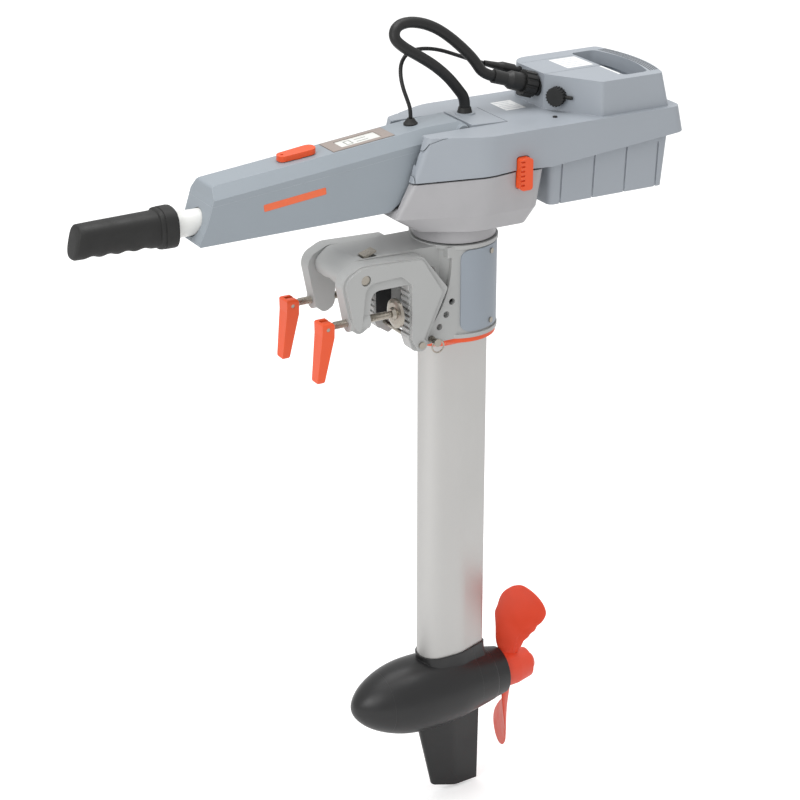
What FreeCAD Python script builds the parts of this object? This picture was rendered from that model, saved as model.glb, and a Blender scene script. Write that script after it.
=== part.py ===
"""Electric outboard motor with a transom clamp, a tiller and a detachable battery.

Row frame in millimetres: X runs aft, Y to starboard and Z up.  The origin is the seat on the transom: Z = 0 is the
top edge of the boat's transom, X = 0 its outer face and Y = 0 the middle of the motor.
"""
import FreeCAD, Part
import math
import os

Vec = FreeCAD.Vector

# ---------------------------------------------------------------- driving dimensions
# clearances
FIT = 0.08              # radial running fit of a pin or shaft
GAP = 0.4               # between faces of pieces that move past each other
SHUT = 0.6              # between the edges of covers that close on each other

# stations of the whole motor
STEER_X = 98.0          # steering axis
PROP_AXIS_Z = -625.0    # motor and propeller axis
SHAFT_TOP_Z = 92.0

# shaft extrusion
SHAFT_CHORD = 98.0
SHAFT_THICK = 49.0
SHAFT_NOSE_X = STEER_X - 0.5 * SHAFT_CHORD
SHAFT_TAIL_HALF = 8.0
SHAFT_WALL = 3.0
SHAFT_BREAK = 52.0      # from the nose to where the sides start to taper

# clamp arms
ARM_INNER_Y = 36.2
ARM_OUTER_Y = 60.0
ARM_STEP = 4.0          # height of the raised band on the outer face
ARM_TOP_Z = 36.0
JAW_TOP_Z = 0.0         # ceiling of the jaw, the seat on the transom's top edge
JAW_FRONT_X = -52.0
JAW_FACE_LOW_Z = -73.0
TOOTH_PITCH = 8.0
TOOTH_DEPTH = 2.6
TILT_X = -62.0
TILT_Z = 17.0
TILT_BOLT_R = 5.0
TIE_X = 17.0
TIE_Z = -83.0
TIE_R = 3.0

# clamp screws
SCREW_Y = 48.0
SCREW_Z = -38.0
SCREW_R = 5.0
SCREW_CORE = 4.1
SCREW_PITCH = 2.0
SCREW_FRONT_X = -124.0
SCREW_REAR_X = -22.0
PAD_R = 19.0
PAD_FACE_X = -12.0
PAD_THICK = 4.0
TOGGLE_X = -115.0
TOGGLE_LENGTH = 72.0
TOGGLE_WIDTH = 23.0
TOGGLE_TIP_WIDTH = 15.6
TOGGLE_THICK = 17.0
TOGGLE_LEAN = 9.0
TOGGLE_PIN_R = 2.5

# swivel
BARREL_R = 54.0
BARREL_WALL = 3.6
BARREL_BORE_R = BARREL_R - BARREL_WALL
BARREL_TOP_Z = 37.0
BARREL_LOW_Z = -88.0
FLANGE_R = BARREL_R + 3.0
FLANGE_THICK = 5.0
TONGUE_HALF = 34.6
TONGUE_TOP_Z = 36.0
TONGUE_LOW_Z = 10.0
PLATE_INNER_Y = 44.0
PLATE_OUTER_Y = 50.0
TRIM_RADIUS = 139.5
TRIM_FIRST_DEG = -45.0
TRIM_STEP_DEG = 7.45
TRIM_COUNT = 4
TRIM_PIN_R = 4.0
TRIM_HOLE_GAP = 0.35
TRIM_EDGE = 11.5        # from the trim holes to the plate's front edge
RING_DROP = (4.0, 7.4)  # from the trim pin to the middle of its ring, aft and down
COVER_WALL = 2.0
COVER_FRONT_X = 78.5
COVER_CORNER_R = 12.0
COVER_LOW_Z = -80.0
COVER_TOP_Z = 30.0
CATCH_X = -42.0
CATCH_Y = -24.0
CATCH_HALF = 7.0
CATCH_PIN_R = 1.5
CATCH_PIN_Z = 32.5

# lower collar
COLLAR_LOW_Z = BARREL_LOW_Z - 17.0
COLLAR_R = BARREL_R + 1.0
COLLAR_WALL = 3.5

# head
HEAD_HALF = 86.0
HEAD_WALL = 3.0
NECK_R = BARREL_R       # as wide as the barrel it turns on
NECK_LOW_Z = 39.0
TILLER_HALF = 33.0
SLOT_HALF = TILLER_HALF + 3.5   # slot for the tiller root between the wings
DECK_FRONT_X = 103.0
DECK_REAR_X = 154.0
DECK_TOP_Z = 186.4
GLAND_R = 9.5
SEAM_DROP = 1.9         # from the seam line down to the edge of the tub

# battery
WING_TOP_Z = 184.0
BATTERY_REAR_X = 387.0
BELLY_HALF = HEAD_HALF - 11.0
BELLY_FRONT_X = 193.0
BELLY_REAR_X = 377.0
BELLY_LOW_Z = 76.0
BELLY_RIB_PITCH = 49.0
BELLY_RIB_COUNT = 4
BOX_TOP_Z = 229.0
BOX_HALF = HEAD_HALF - 8.0
BOX_FRONT_X = 224.0
BOX_CUT_Y = -8.0        # where the cut-away corner starts on the front
BOX_CUT_X = 268.0       # and where it ends on the side
BOX_REAR_X = 360.0      # rear corners of the box's top
BOX_REAR_BOW = 26.0     # how far the tangents of the bowed rear meet behind them
BOX_LEAN = 12.0
HANDLE_FRONT_X = 311.0
HANDLE_CORNER_X = 347.5
HANDLE_BOW = 17.5
HANDLE_HALF = 62.0
BUTTON_X = 215.5
BUTTON_Y = -50.0
BUTTON_R = 3.0
CAP_R = 12.5
CAP_SOCKET_R = 10.0
CAP_ALONG = 20.0        # from the front end of the cut-away corner
CAP_Z = 203.4
POWER_SOCKET_R = 12.5
DATA_SOCKET_R = 6.5
LOCK_X = 147.0
LOCK_Z = 131.0
LOCK_R = 5.0
LOCK_LENGTH = 58.0

# tiller
TILLER_TOP_HALF = TILLER_HALF - 12.0
TILLER_WALL = 2.6
HINGE_X = 92.0
HINGE_Z = 178.0
HINGE_R = 3.0
GRIP_Z = 110.0
TUBE_R = 16.0
TUBE_WALL = 2.5
TUBE_REAR_X = -205.0
GRIP_TIP_X = -425.0
GRIP_REAR_X = -292.0
GRIP_R = 19.5
GRIP_COLLAR_R = 25.5
DISPLAY_FRONT_X = -84.0
DISPLAY_REAR_X = 1.0
DISPLAY_HALF = 19.0
KEY_X = -126.0
KEY_REACH = 25.0

# pylon
PYLON_NOSE_X = -55.0
PYLON_REAR_X = 178.0
PYLON_R = 53.0
PYLON_REAR_R = 33.5
NOSE_SPLIT_X = -10.0
TAIL_SPLIT_X = 128.0
PYLON_WALL = 5.0
SOCKET_TOP_Z = PROP_AXIS_Z + 59.0
SOCKET_DEPTH = 16.0
FIN_LOW_Z = PROP_AXIS_Z - 165.0

# motor and gearbox
STATOR_R = 42.0
STATOR_BORE_R = 25.0
STATOR_FRONT_X = 3.2
STATOR_REAR_X = 58.0
AIR_GAP = 0.5
GEAR_MODULE = 1.25
SUN_TEETH = 12
PLANET_TEETH = 18
RING_TEETH = SUN_TEETH + 2 * PLANET_TEETH
GEAR_FRONT_X = 78.0
GEAR_WIDTH = 14.0
BACKLASH = 0.16         # taken off the width of every tooth
PRESSURE_DEG = 25.0
PLANET_PIN_R = 4.0
PROP_SHAFT_R = 7.0
BEARING_X = 150.0
BEARING_WIDTH = 14.0
BEARING_OUT_R = 20.0

# propeller
HUB_FRONT_X = 179.5
HUB_LENGTH = 44.0
HUB_FRONT_R = 27.0
HUB_REAR_R = 21.0
BLADE_TIP_R = 142.0
BLADE_CHORD = 73.0
BLADE_LEAN_DEG = 16.0
BLADE_PITCH = 265.0     # advance in one turn
BLADE_X = 202.0

# cables
POWER_CABLE_D = 14.0
DATA_CABLE_D = 5.0
POWER_ROUTE = [
    (122.7, 17.0, 194.0), (122.7, 17.0, 205.0), (114.0, 17.0, 216.5), (98.0, 14.5, 235.0), (77.0, 12.5, 253.5),
    (54.0, 12.0, 269.0), (33.5, 14.0, 281.5), (20.5, 18.0, 294.0), (26.0, 24.0, 306.5), (45.0, 29.0, 310.0),
    (68.0, 31.0, 305.5), (88.5, 30.0, 296.5), (107.0, 27.0, 283.0), (124.5, 23.0, 266.5), (138.5, 20.3, 251.0),
    (148.966, 17.179, 233.312), (163.3, 15.7, 228.8)]
DATA_ROUTE = [
    (36.0, 3.0, 195.0), (36.0, 3.0, 206.0), (32.0, 4.5, 219.0), (28.5, 9.0, 233.0), (28.5, 15.5, 247.5),
    (33.0, 22.5, 260.0), (43.5, 28.5, 269.0), (59.0, 33.0, 272.5), (79.0, 37.5, 270.5), (101.5, 41.5, 264.5),
    (122.0, 46.0, 256.0), (139.5, 52.0, 248.5), (156.513, 56.263, 240.878), (173.6, 54.5, 235.5)]
PLUG_AXIS = Vec(0.95, -0.098, -0.299).normalize()
POWER_RING_R = 17.0
POWER_RING_LENGTH = 16.0
POWER_PLUG_LENGTH = 42.0
DATA_PLUG_LENGTH = 44.0


# ---------------------------------------------------------------- small helpers
def box(x0, x1, y0, y1, z0, z1):
    """Block between two corners."""
    return Part.makeBox(x1 - x0, y1 - y0, z1 - z0, Vec(x0, y0, z0))


def rod(radius, start, end):
    """Cylinder from one point to another."""
    along = Vec(*end) - Vec(*start)
    return Part.makeCylinder(radius, along.Length, Vec(*start), along)


def sleeve(outer, inner, start, end):
    """Tube from one point to another."""
    return rod(outer, start, end).cut(rod(inner, start, end))


def corner_arc(before, point, after, radius):
    """Tangent points and middle point of a rounded corner."""
    back = (before - point).normalize()
    ahead = (after - point).normalize()
    half = 0.5 * back.getAngle(ahead)
    reach = radius / math.tan(half)
    inward = (back + ahead).normalize()
    middle = point + inward * (radius / math.sin(half) - radius)
    return point + back * reach, middle, point + ahead * reach


def rounded_wire(points, radii):
    """Closed wire through points in 3-D, with every corner rounded by its own radius."""
    count = len(points)
    arcs = [corner_arc(points[i - 1], points[i], points[(i + 1) % count], radii[i]) for i in range(count)]
    edges = []
    for i in range(count):
        start, middle, end = arcs[i]
        following = arcs[(i + 1) % count][0]
        edges.append(Part.Arc(start, middle, end).toShape())
        if (following - end).Length > 1e-4:
            edges.append(Part.LineSegment(end, following).toShape())
    return Part.Wire(edges)


def spread(radius, count):
    """One radius for every corner, unless a list is given."""
    return list(radius) if isinstance(radius, (list, tuple)) else [radius] * count


def side_wire(outline, radius, y):
    """Rounded outline drawn in X and Z."""
    points = [Vec(x, y, z) for x, z in outline]
    return rounded_wire(points, spread(radius, len(points)))


def plan_wire(outline, radius, z):
    """Rounded outline drawn in X and Y."""
    points = [Vec(x, y, z) for x, y in outline]
    return rounded_wire(points, spread(radius, len(points)))


def side_plate(outline, radius, y0, y1):
    """Plate whose outline is drawn in X and Z, from y0 to y1."""
    return Part.Face(side_wire(outline, radius, y0)).extrude(Vec(0, y1 - y0, 0))


def plan_plate(outline, radius, z0, z1):
    """Plate whose outline is drawn in X and Y, from z0 to z1."""
    return Part.Face(plan_wire(outline, radius, z0)).extrude(Vec(0, 0, z1 - z0))


def side_block(outline, y0, y1):
    """Sharp-edged block whose outline is drawn in X and Z."""
    wire = Part.makePolygon([Vec(x, y0, z) for x, z in outline + outline[:1]])
    return Part.Face(wire).extrude(Vec(0, y1 - y0, 0))


def turned(profile, axis_point, axis):
    """Solid of revolution of a closed profile of 3-D points."""
    wire = Part.makePolygon(profile + profile[:1])
    return Part.Face(wire).revolve(axis_point, axis, 360)


def turned_along_x(stations, y, z):
    """Solid turned about a line along X, from (x, radius) stations."""
    profile = [Vec(x, y, z + r) for x, r in stations]
    profile = [Vec(stations[0][0], y, z)] + profile + [Vec(stations[-1][0], y, z)]
    return turned(profile, Vec(0, y, z), Vec(1, 0, 0))


def mirror_y(shape):
    """The same piece on the other side of the motor."""
    return shape.mirror(Vec(0, 0, 0), Vec(0, 1, 0))


def joined(shapes):
    """Fuse shapes into one solid without leftover seams."""
    return shapes[0].fuse(shapes[1:]).removeSplitter()


def save(name, shape):
    """Write one node and say how big it is."""
    solids = shape.Solids
    volume = sum(solid.Volume for solid in solids)
    print(f"{name:24s} solids {len(solids):2d}  valid {shape.isValid()}  volume {volume / 1000.0:9.2f} cm3")
    shape.exportStep(f"parts/{name}.step")


# ---------------------------------------------------------------- shaft
def shaft_outline(grow, z):
    """Teardrop section of the shaft, grown outwards, with a round nose and a narrow tail."""
    half = 0.5 * SHAFT_THICK + grow
    tail = SHAFT_TAIL_HALF + grow
    nose_x = SHAFT_NOSE_X - grow
    tail_x = SHAFT_NOSE_X + SHAFT_CHORD + grow
    break_x = SHAFT_NOSE_X + SHAFT_BREAK
    outline = [(nose_x, -half), (break_x, -half), (tail_x, -tail), (tail_x, tail), (break_x, half), (nose_x, half)]
    return plan_wire(outline, [half * 0.99, 50.0, tail * 0.85, tail * 0.85, 50.0, half * 0.99], z)


def shaft_prism(grow, z0, z1):
    """Solid teardrop prism."""
    return Part.Face(shaft_outline(grow, z0)).extrude(Vec(0, 0, z1 - z0))


def make_shaft_tube():
    """Aluminium extrusion from the pylon's socket up into the head."""
    low = SOCKET_TOP_Z - SOCKET_DEPTH
    return shaft_prism(0.0, low, SHAFT_TOP_Z).cut(shaft_prism(-SHAFT_WALL, low, SHAFT_TOP_Z))


def make_shaft_bushes():
    """Two round plastic bushes that fill the barrel round the shaft."""
    bushes = []
    for low, high in ((BARREL_LOW_Z + 2.0, BARREL_LOW_Z + 26.0), (BARREL_TOP_Z - 24.0, BARREL_TOP_Z)):
        disc = rod(BARREL_BORE_R - FIT, (STEER_X, 0, low), (STEER_X, 0, high))
        bushes.append(disc.cut(shaft_prism(0.0, low, high)))
    return Part.makeCompound(bushes)


def make_lower_collar():
    """Funnel-shaped collar that carries the barrel and closes it below."""
    top = BARREL_LOW_Z - GAP
    lip = top - 6.0
    rim = rod(COLLAR_R, (STEER_X, 0, lip), (STEER_X, 0, top))
    ring = Part.Wire(Part.makeCircle(COLLAR_R - 0.5, Vec(STEER_X, 0, lip)))
    funnel = Part.makeLoft([ring, shaft_outline(COLLAR_WALL + 0.8, COLLAR_LOW_Z)], True, False)
    whole = joined([rim, funnel])
    return whole.cut(shaft_prism(0.0, COLLAR_LOW_Z - 1.0, top + 1.0))


def make_shaft_harness():
    """Motor cables that run down inside the shaft."""
    low = SOCKET_TOP_Z - SOCKET_DEPTH + 2.0
    wires = []
    for offset in (-9.0, 0.0, 9.0):
        wires.append(rod(3.5, (STEER_X - 16.0, offset, low), (STEER_X - 16.0, offset, SHAFT_TOP_Z - 4.0)))
    return Part.makeCompound(wires)


# ---------------------------------------------------------------- clamp bracket
ARM_OUTLINE = [
    (-66.0, ARM_TOP_Z), (-96.0, 22.0), (-83.0, -44.0), (-71.0, -55.0), (-58.0, -47.0), (JAW_FRONT_X, JAW_TOP_Z),
    (0.0, JAW_TOP_Z), (0.0, JAW_FACE_LOW_Z), (6.0, -91.0), (21.0, -91.0), (57.0, -14.0), (21.0, 33.0)]
ARM_RADII = [24.0, 20.0, 8.0, 10.0, 5.0, 13.0, 2.0, 3.0, 7.0, 7.0, 5.0, 7.0]
BAND_OUTLINE = [
    (-66.0, ARM_TOP_Z - 2.0), (-92.0, 20.0), (-80.0, -40.0), (-71.0, -50.0), (-68.0, -40.0), (-62.0, 12.0),
    (-12.0, 14.0), (3.0, 0.0), (3.0, JAW_FACE_LOW_Z), (8.0, -84.0), (17.0, -84.0), (47.0, -16.0), (18.0, 31.0)]
BAND_RADII = [22.0, 18.0, 5.0, 1.5, 2.0, 16.0, 8.0, 8.0, 3.0, 3.0, 3.0, 5.0, 6.0]


def make_clamp_arm():
    """Right clamp arm, seen from inside the boat: a C-shaped casting with a toothed face that bites the transom."""
    inner = -ARM_INNER_Y
    floor = -(ARM_OUTER_Y - ARM_STEP)
    arm = side_plate(ARM_OUTLINE, ARM_RADII, floor, inner)
    band = side_plate(BAND_OUTLINE, BAND_RADII, -ARM_OUTER_Y, floor)
    boss = rod(8.0, (TIE_X, -ARM_OUTER_Y, TIE_Z), (TIE_X, inner, TIE_Z))
    screw_boss = rod(11.5, (-84.0, -SCREW_Y, SCREW_Z), (-55.5, -SCREW_Y, SCREW_Z))
    lug = side_plate([(14.0, -84.0), (30.0, -89.0), (35.5, -84.9), (33.5, -93.0), (22.0, -99.0), (10.0, -91.0)],
                     [1.0, 1.0, 0.5, 2.0, 3.0, 3.0], -43.5, inner)
    arm = joined([arm, band, boss, screw_boss, lug])
    teeth = int((JAW_TOP_Z - JAW_FACE_LOW_Z - 6.0) / TOOTH_PITCH)
    for i in range(teeth):
        z = JAW_TOP_Z - 6.0 - TOOTH_PITCH * i
        notch = [(-1.0, z), (TOOTH_DEPTH, z - 0.75 * TOOTH_PITCH), (-1.0, z - 0.8 * TOOTH_PITCH)]
        arm = arm.cut(side_block(notch, -ARM_OUTER_Y - 1.0, inner + 1.0))
    arm = arm.cut(rod(TILT_BOLT_R + FIT, (TILT_X, -ARM_OUTER_Y - 1.0, TILT_Z), (TILT_X, inner + 1.0, TILT_Z)))
    arm = arm.cut(rod(TIE_R, (TIE_X, -ARM_OUTER_Y - 1.0, TIE_Z), (TIE_X, inner + 1.0, TIE_Z)))
    arm = arm.cut(rod(7.0, (TILT_X, -ARM_OUTER_Y - 1.0, TILT_Z), (TILT_X, -ARM_OUTER_Y + 5.0, TILT_Z)))
    arm = arm.cut(rod(BARREL_R + 1.0, (STEER_X, 0, -100.0), (STEER_X, 0, 50.0)))
    arm = arm.cut(rod(SCREW_R + FIT, (-90.0, -SCREW_Y, SCREW_Z), (-50.0, -SCREW_Y, SCREW_Z)))
    return arm


def make_tilt_pivot_bolt():
    """Axle of the tilt hinge, with a flat head at each end sunk in the arms."""
    head_y = ARM_OUTER_Y - 4.5
    pin = rod(TILT_BOLT_R, (TILT_X, -head_y, TILT_Z), (TILT_X, head_y, TILT_Z))
    heads = [rod(6.2, (TILT_X, side * head_y, TILT_Z), (TILT_X, side * (ARM_OUTER_Y - 2.5), TILT_Z))
             for side in (-1, 1)]
    return joined([pin] + heads)


def make_lower_tie_rod():
    """Rod that ties the arms' lower tips, with a round head at each end."""
    reach = ARM_OUTER_Y
    pin = rod(TIE_R, (TIE_X, -reach, TIE_Z), (TIE_X, reach, TIE_Z))
    heads = [rod(4.6, (TIE_X, side * reach, TIE_Z), (TIE_X, side * (reach + 2.5), TIE_Z)) for side in (-1, 1)]
    return joined([pin] + heads)


def make_clamp_screw():
    """Right clamp screw: threaded rod with an eye for the toggle and a ball-ended neck for the pad."""
    y = -SCREW_Y
    core = rod(SCREW_CORE, (SCREW_FRONT_X + 9.0, y, SCREW_Z), (SCREW_REAR_X, y, SCREW_Z))
    threads = [core]
    turns = int((SCREW_REAR_X - SCREW_FRONT_X - 26.0) / SCREW_PITCH)
    for i in range(turns):
        x = SCREW_FRONT_X + 22.0 + SCREW_PITCH * i
        ridge = [(x, SCREW_CORE - 0.2), (x + 0.45 * SCREW_PITCH, SCREW_R), (x + 0.55 * SCREW_PITCH, SCREW_R),
                 (x + SCREW_PITCH, SCREW_CORE - 0.2)]
        threads.append(turned_along_x(ridge, y, SCREW_Z))
    eye = rod(5.5, (TOGGLE_X, y - 3.2, SCREW_Z), (TOGGLE_X, y + 3.2, SCREW_Z))
    neck = rod(SCREW_CORE, (TOGGLE_X, y, SCREW_Z), (TOGGLE_X + 12.0, y, SCREW_Z))
    neck = neck.common(box(TOGGLE_X, TOGGLE_X + 12.0, y - 3.2, y + 3.2, SCREW_Z - 6.0, SCREW_Z + 6.0))
    tip = rod(3.0, (SCREW_REAR_X - 1.0, y, SCREW_Z), (PAD_FACE_X - PAD_THICK + 1.0, y, SCREW_Z))
    core_solid = joined(threads).cut(box(TOGGLE_X - 12.0, TOGGLE_X + 12.0, y - 9.0, y + 9.0, SCREW_Z - 9.0,
                                         SCREW_Z + 9.0))
    screw = joined([core_solid, eye, neck, tip])
    return screw.cut(rod(TOGGLE_PIN_R, (TOGGLE_X, y - 9.0, SCREW_Z), (TOGGLE_X, y + 9.0, SCREW_Z)))


def make_pressure_pad():
    """Right pressure pad: a dished disc that swivels on the screw's tip."""
    y = -SCREW_Y
    back = PAD_FACE_X - PAD_THICK
    disc = turned_along_x([(back - 1.5, PAD_R - 5.0), (back, PAD_R), (PAD_FACE_X, PAD_R)], y, SCREW_Z)
    hub = turned_along_x([(SCREW_REAR_X + 0.4, 7.0), (back - 1.0, 9.0)], y, SCREW_Z)
    pad = joined([disc, hub])
    hole_start = (SCREW_REAR_X - 1.0, y, SCREW_Z)
    return pad.cut(rod(3.0 + FIT, hole_start, (back + 1.0 + GAP, y, SCREW_Z)))


def make_toggle_handle():
    """Right toggle: a forked plastic handle that hangs from the screw's eye."""
    y = -SCREW_Y
    half = 0.5 * TOGGLE_WIDTH
    tip = 0.5 * TOGGLE_TIP_WIDTH
    low_z = SCREW_Z - TOGGLE_LENGTH
    top_z = SCREW_Z + 9.0
    front = Part.Face(rounded_wire(
        [Vec(0, y - half, top_z), Vec(0, y - tip, low_z), Vec(0, y + tip, low_z), Vec(0, y + half, top_z)],
        [4.0, 5.0, 5.0, 4.0])).extrude(Vec(60, 0, 0))
    front.translate(Vec(TOGGLE_X - 40.0, 0, 0))
    thick = 0.5 * TOGGLE_THICK
    profile = [(TOGGLE_X - thick, top_z), (TOGGLE_X - thick, SCREW_Z - 8.0),
               (TOGGLE_X - TOGGLE_LEAN - 6.0, low_z), (TOGGLE_X - TOGGLE_LEAN + 4.0, low_z),
               (TOGGLE_X + thick, SCREW_Z - 12.0), (TOGGLE_X + thick, top_z)]
    side = side_plate(profile, [3.5, 4.0, 3.0, 3.0, 6.0, 6.0], y - 20.0, y + 20.0)
    handle = front.common(side)
    fork = box(TOGGLE_X - 6.3, TOGGLE_X + 20.0, y - 3.6, y + 3.6, SCREW_Z - 9.5, top_z + 1.0)
    groove_low = low_z + 9.0
    groove_top = SCREW_Z - 16.0
    groove = box(TOGGLE_X + 0.5 * thick - TOGGLE_LEAN, TOGGLE_X + 20.0, y - 3.0, y + 3.0, groove_low, groove_top)
    handle = handle.cut(fork).cut(groove)
    return handle.cut(rod(TOGGLE_PIN_R + FIT, (TOGGLE_X, y - 20.0, SCREW_Z), (TOGGLE_X, y + 20.0, SCREW_Z)))


def make_toggle_pin():
    """Pin that holds the toggle in the screw's eye."""
    reach = 0.5 * TOGGLE_WIDTH - 1.0
    return rod(TOGGLE_PIN_R, (TOGGLE_X, -SCREW_Y - reach, SCREW_Z), (TOGGLE_X, -SCREW_Y + reach, SCREW_Z))


# ---------------------------------------------------------------- swivel
def trim_hole(index):
    """Centre of one trim hole, all on one arc about the tilt pivot."""
    angle = math.radians(TRIM_FIRST_DEG + TRIM_STEP_DEG * index)
    return TILT_X + TRIM_RADIUS * math.cos(angle), TILT_Z + TRIM_RADIUS * math.sin(angle)


def make_trim_plate():
    """Right trim plate: a flat web tangent to the barrel, its front edge round about the tilt pivot."""
    edge_r = TRIM_RADIUS - TRIM_EDGE
    web = side_block([(20.0, BARREL_LOW_Z), (92.0, BARREL_LOW_Z), (92.0, 34.0), (20.0, 34.0)], -PLATE_OUTER_Y,
                     -PLATE_INNER_Y)
    cutter = rod(edge_r, (TILT_X, -PLATE_OUTER_Y - 1.0, TILT_Z), (TILT_X, -PLATE_INNER_Y + 1.0, TILT_Z))
    web = web.cut(cutter)
    tip_x, tip_z = ARM_OUTLINE[9]
    corner_x, corner_z = ARM_OUTLINE[10]
    beside_arm = side_block([(tip_x + 1.4, tip_z), (corner_x + 1.4, corner_z), (0.0, corner_z), (0.0, tip_z)],
                            -60.0, -40.0)
    return web.cut(beside_arm)


def make_swivel_yoke():
    """Casting with the tilt tongue, the two trim plates and the steering barrel."""
    barrel = rod(BARREL_R, (STEER_X, 0, BARREL_LOW_Z), (STEER_X, 0, BARREL_TOP_Z))
    low_flange = rod(FLANGE_R, (STEER_X, 0, BARREL_LOW_Z), (STEER_X, 0, BARREL_LOW_Z + FLANGE_THICK))
    top_flange = rod(FLANGE_R, (STEER_X, 0, BARREL_TOP_Z - FLANGE_THICK), (STEER_X, 0, BARREL_TOP_Z))
    tongue = side_plate(
        [(-66.0, TONGUE_TOP_Z), (-86.0, 20.0), (-81.0, 2.0), (-64.0, 0.0), (-46.0, TONGUE_LOW_Z),
         (50.0, TONGUE_LOW_Z), (60.0, -84.0), (70.0, -84.0), (70.0, TONGUE_TOP_Z)],
        [20.0, 14.0, 6.0, 6.0, 8.0, 6.0, 2.0, 2.0, 2.0], -TONGUE_HALF, TONGUE_HALF)
    hollow = side_plate([(-40.0, -20.0), (-40.0, 28.0), (52.0, 28.0), (44.0, -20.0)], 3.0, -28.0, 28.0)
    knuckle = rod(15.5, (TILT_X, -TONGUE_HALF, TILT_Z), (TILT_X, TONGUE_HALF, TILT_Z))
    arch = rod(20.0, (-100.0, 0, -14.0), (-50.0, 0, -14.0))
    tongue = tongue.cut(hollow).cut(arch)
    shelf = side_block([(60.0, 22.0), (92.0, 22.0), (92.0, TONGUE_TOP_Z), (60.0, TONGUE_TOP_Z)], -50.0, 50.0)
    foot_top = BARREL_LOW_Z + 10.0
    foot = side_block([(56.0, BARREL_LOW_Z), (92.0, BARREL_LOW_Z), (92.0, foot_top), (56.0, foot_top)], -50.0, 50.0)
    plate = make_trim_plate()
    yoke = joined([barrel, low_flange, top_flange, tongue, knuckle, shelf, foot, plate, mirror_y(plate)])
    yoke = yoke.cut(rod(BARREL_BORE_R, (STEER_X, 0, BARREL_LOW_Z - 1.0), (STEER_X, 0, BARREL_TOP_Z + 1.0)))
    yoke = yoke.cut(rod(TILT_BOLT_R + FIT, (TILT_X, -40.0, TILT_Z), (TILT_X, 40.0, TILT_Z)))
    for i in range(TRIM_COUNT):
        x, z = trim_hole(i)
        yoke = yoke.cut(rod(TRIM_PIN_R + TRIM_HOLE_GAP, (x, -60.0, z), (x, 60.0, z)))
    near, far = CATCH_Y - CATCH_HALF, CATCH_Y + CATCH_HALF
    yoke = yoke.cut(box(CATCH_X - 9.5, CATCH_X + 10.5, near - 0.6, far + 0.6, 27.0, 40.0))
    return yoke.cut(rod(CATCH_PIN_R + FIT, (CATCH_X - 4.0, near - 2.5, CATCH_PIN_Z),
                        (CATCH_X - 4.0, far + 5.0, CATCH_PIN_Z)))


def make_tilt_catch():
    """Small spring lever in the top of the tongue that holds the motor down."""
    near, far = CATCH_Y - CATCH_HALF, CATCH_Y + CATCH_HALF
    blade = side_plate([(CATCH_X - 8.0, 30.5), (CATCH_X - 8.0, 38.5), (CATCH_X + 10.0, 44.0), (CATCH_X + 10.0, 41.0),
                        (CATCH_X - 1.0, 37.0), (CATCH_X - 1.0, 30.5)], 0.8, near, far)
    pin = rod(CATCH_PIN_R, (CATCH_X - 4.0, near - 2.0, CATCH_PIN_Z), (CATCH_X - 4.0, far + 4.0, CATCH_PIN_Z))
    return joined([blade, pin])


def make_swivel_rear_cover():
    """Bowed plastic cover with rounded corners, screwed over the rear of the barrel."""
    skin = sleeve(BARREL_R + COVER_WALL, BARREL_R, (STEER_X, 0, COVER_LOW_Z), (STEER_X, 0, COVER_TOP_Z))
    rear_x = STEER_X + BARREL_R + 10.0
    window = side_plate([(COVER_FRONT_X, COVER_LOW_Z), (COVER_FRONT_X, COVER_TOP_Z), (rear_x, COVER_TOP_Z),
                         (rear_x, COVER_LOW_Z)], [COVER_CORNER_R, COVER_CORNER_R, 2.0, 2.0], -80.0, 80.0)
    return skin.common(window)


def cover_screw_places():
    """Angles and heights of the screws that hold the rear cover."""
    return [(angle, z) for z in (COVER_LOW_Z + 8.0, COVER_TOP_Z - 8.0) for angle in (-62.0, 62.0)]


def make_cover_screws():
    """Four pan-head screws of the rear cover."""
    screws = []
    for angle, z in cover_screw_places():
        ux = math.cos(math.radians(angle))
        uy = math.sin(math.radians(angle))
        start = BARREL_R + COVER_WALL
        end = start + 1.8
        screws.append(rod(3.6, (STEER_X + start * ux, start * uy, z), (STEER_X + end * ux, end * uy, z)))
    return Part.makeCompound(screws)


def make_trim_pin():
    """Removable pin across both trim plates, with a flat head on the port side."""
    x, z = trim_hole(0)
    pin = rod(TRIM_PIN_R, (x, -64.0, z), (x, 58.0, z))
    head = rod(5.2, (x, -67.0, z), (x, -64.0, z))
    whole = joined([pin, head])
    along = Vec(RING_DROP[1], 0, RING_DROP[0]).normalize() * 9.0
    centre = Vec(x, -60.0, z)
    return whole.cut(rod(2.3, tuple(centre - along), tuple(centre + along)))


def make_trim_pin_ring():
    """Pull ring through the trim pin's cross hole."""
    x, z = trim_hole(0)
    return Part.makeTorus(8.4, 1.1, Vec(x + RING_DROP[0], -60.0, z - RING_DROP[1]), Vec(0, 1, 0))


# ---------------------------------------------------------------- head
def hull_outline(front_x, front_half, break_x, half, rear_x):
    """Plan outline of the head and battery: narrow at the front, straight-sided behind."""
    return [(front_x, -front_half), (break_x, -half), (rear_x, -half), (rear_x, half), (break_x, half),
            (front_x, front_half)]


HULL_RADII = [9.0, 60.0, 14.0, 14.0, 60.0, 9.0]


def hull_loft(sections, inset):
    """Straight-walled loft through plan outlines, each moved inwards by the wall."""
    wires = []
    for z, front_x, front_half, break_x, half, rear_x in sections:
        outline = hull_outline(front_x + inset, front_half - inset, break_x, half - inset, rear_x - inset)
        wires.append(plan_wire(outline, HULL_RADII, z))
    return Part.makeLoft(wires, True, True)


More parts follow.
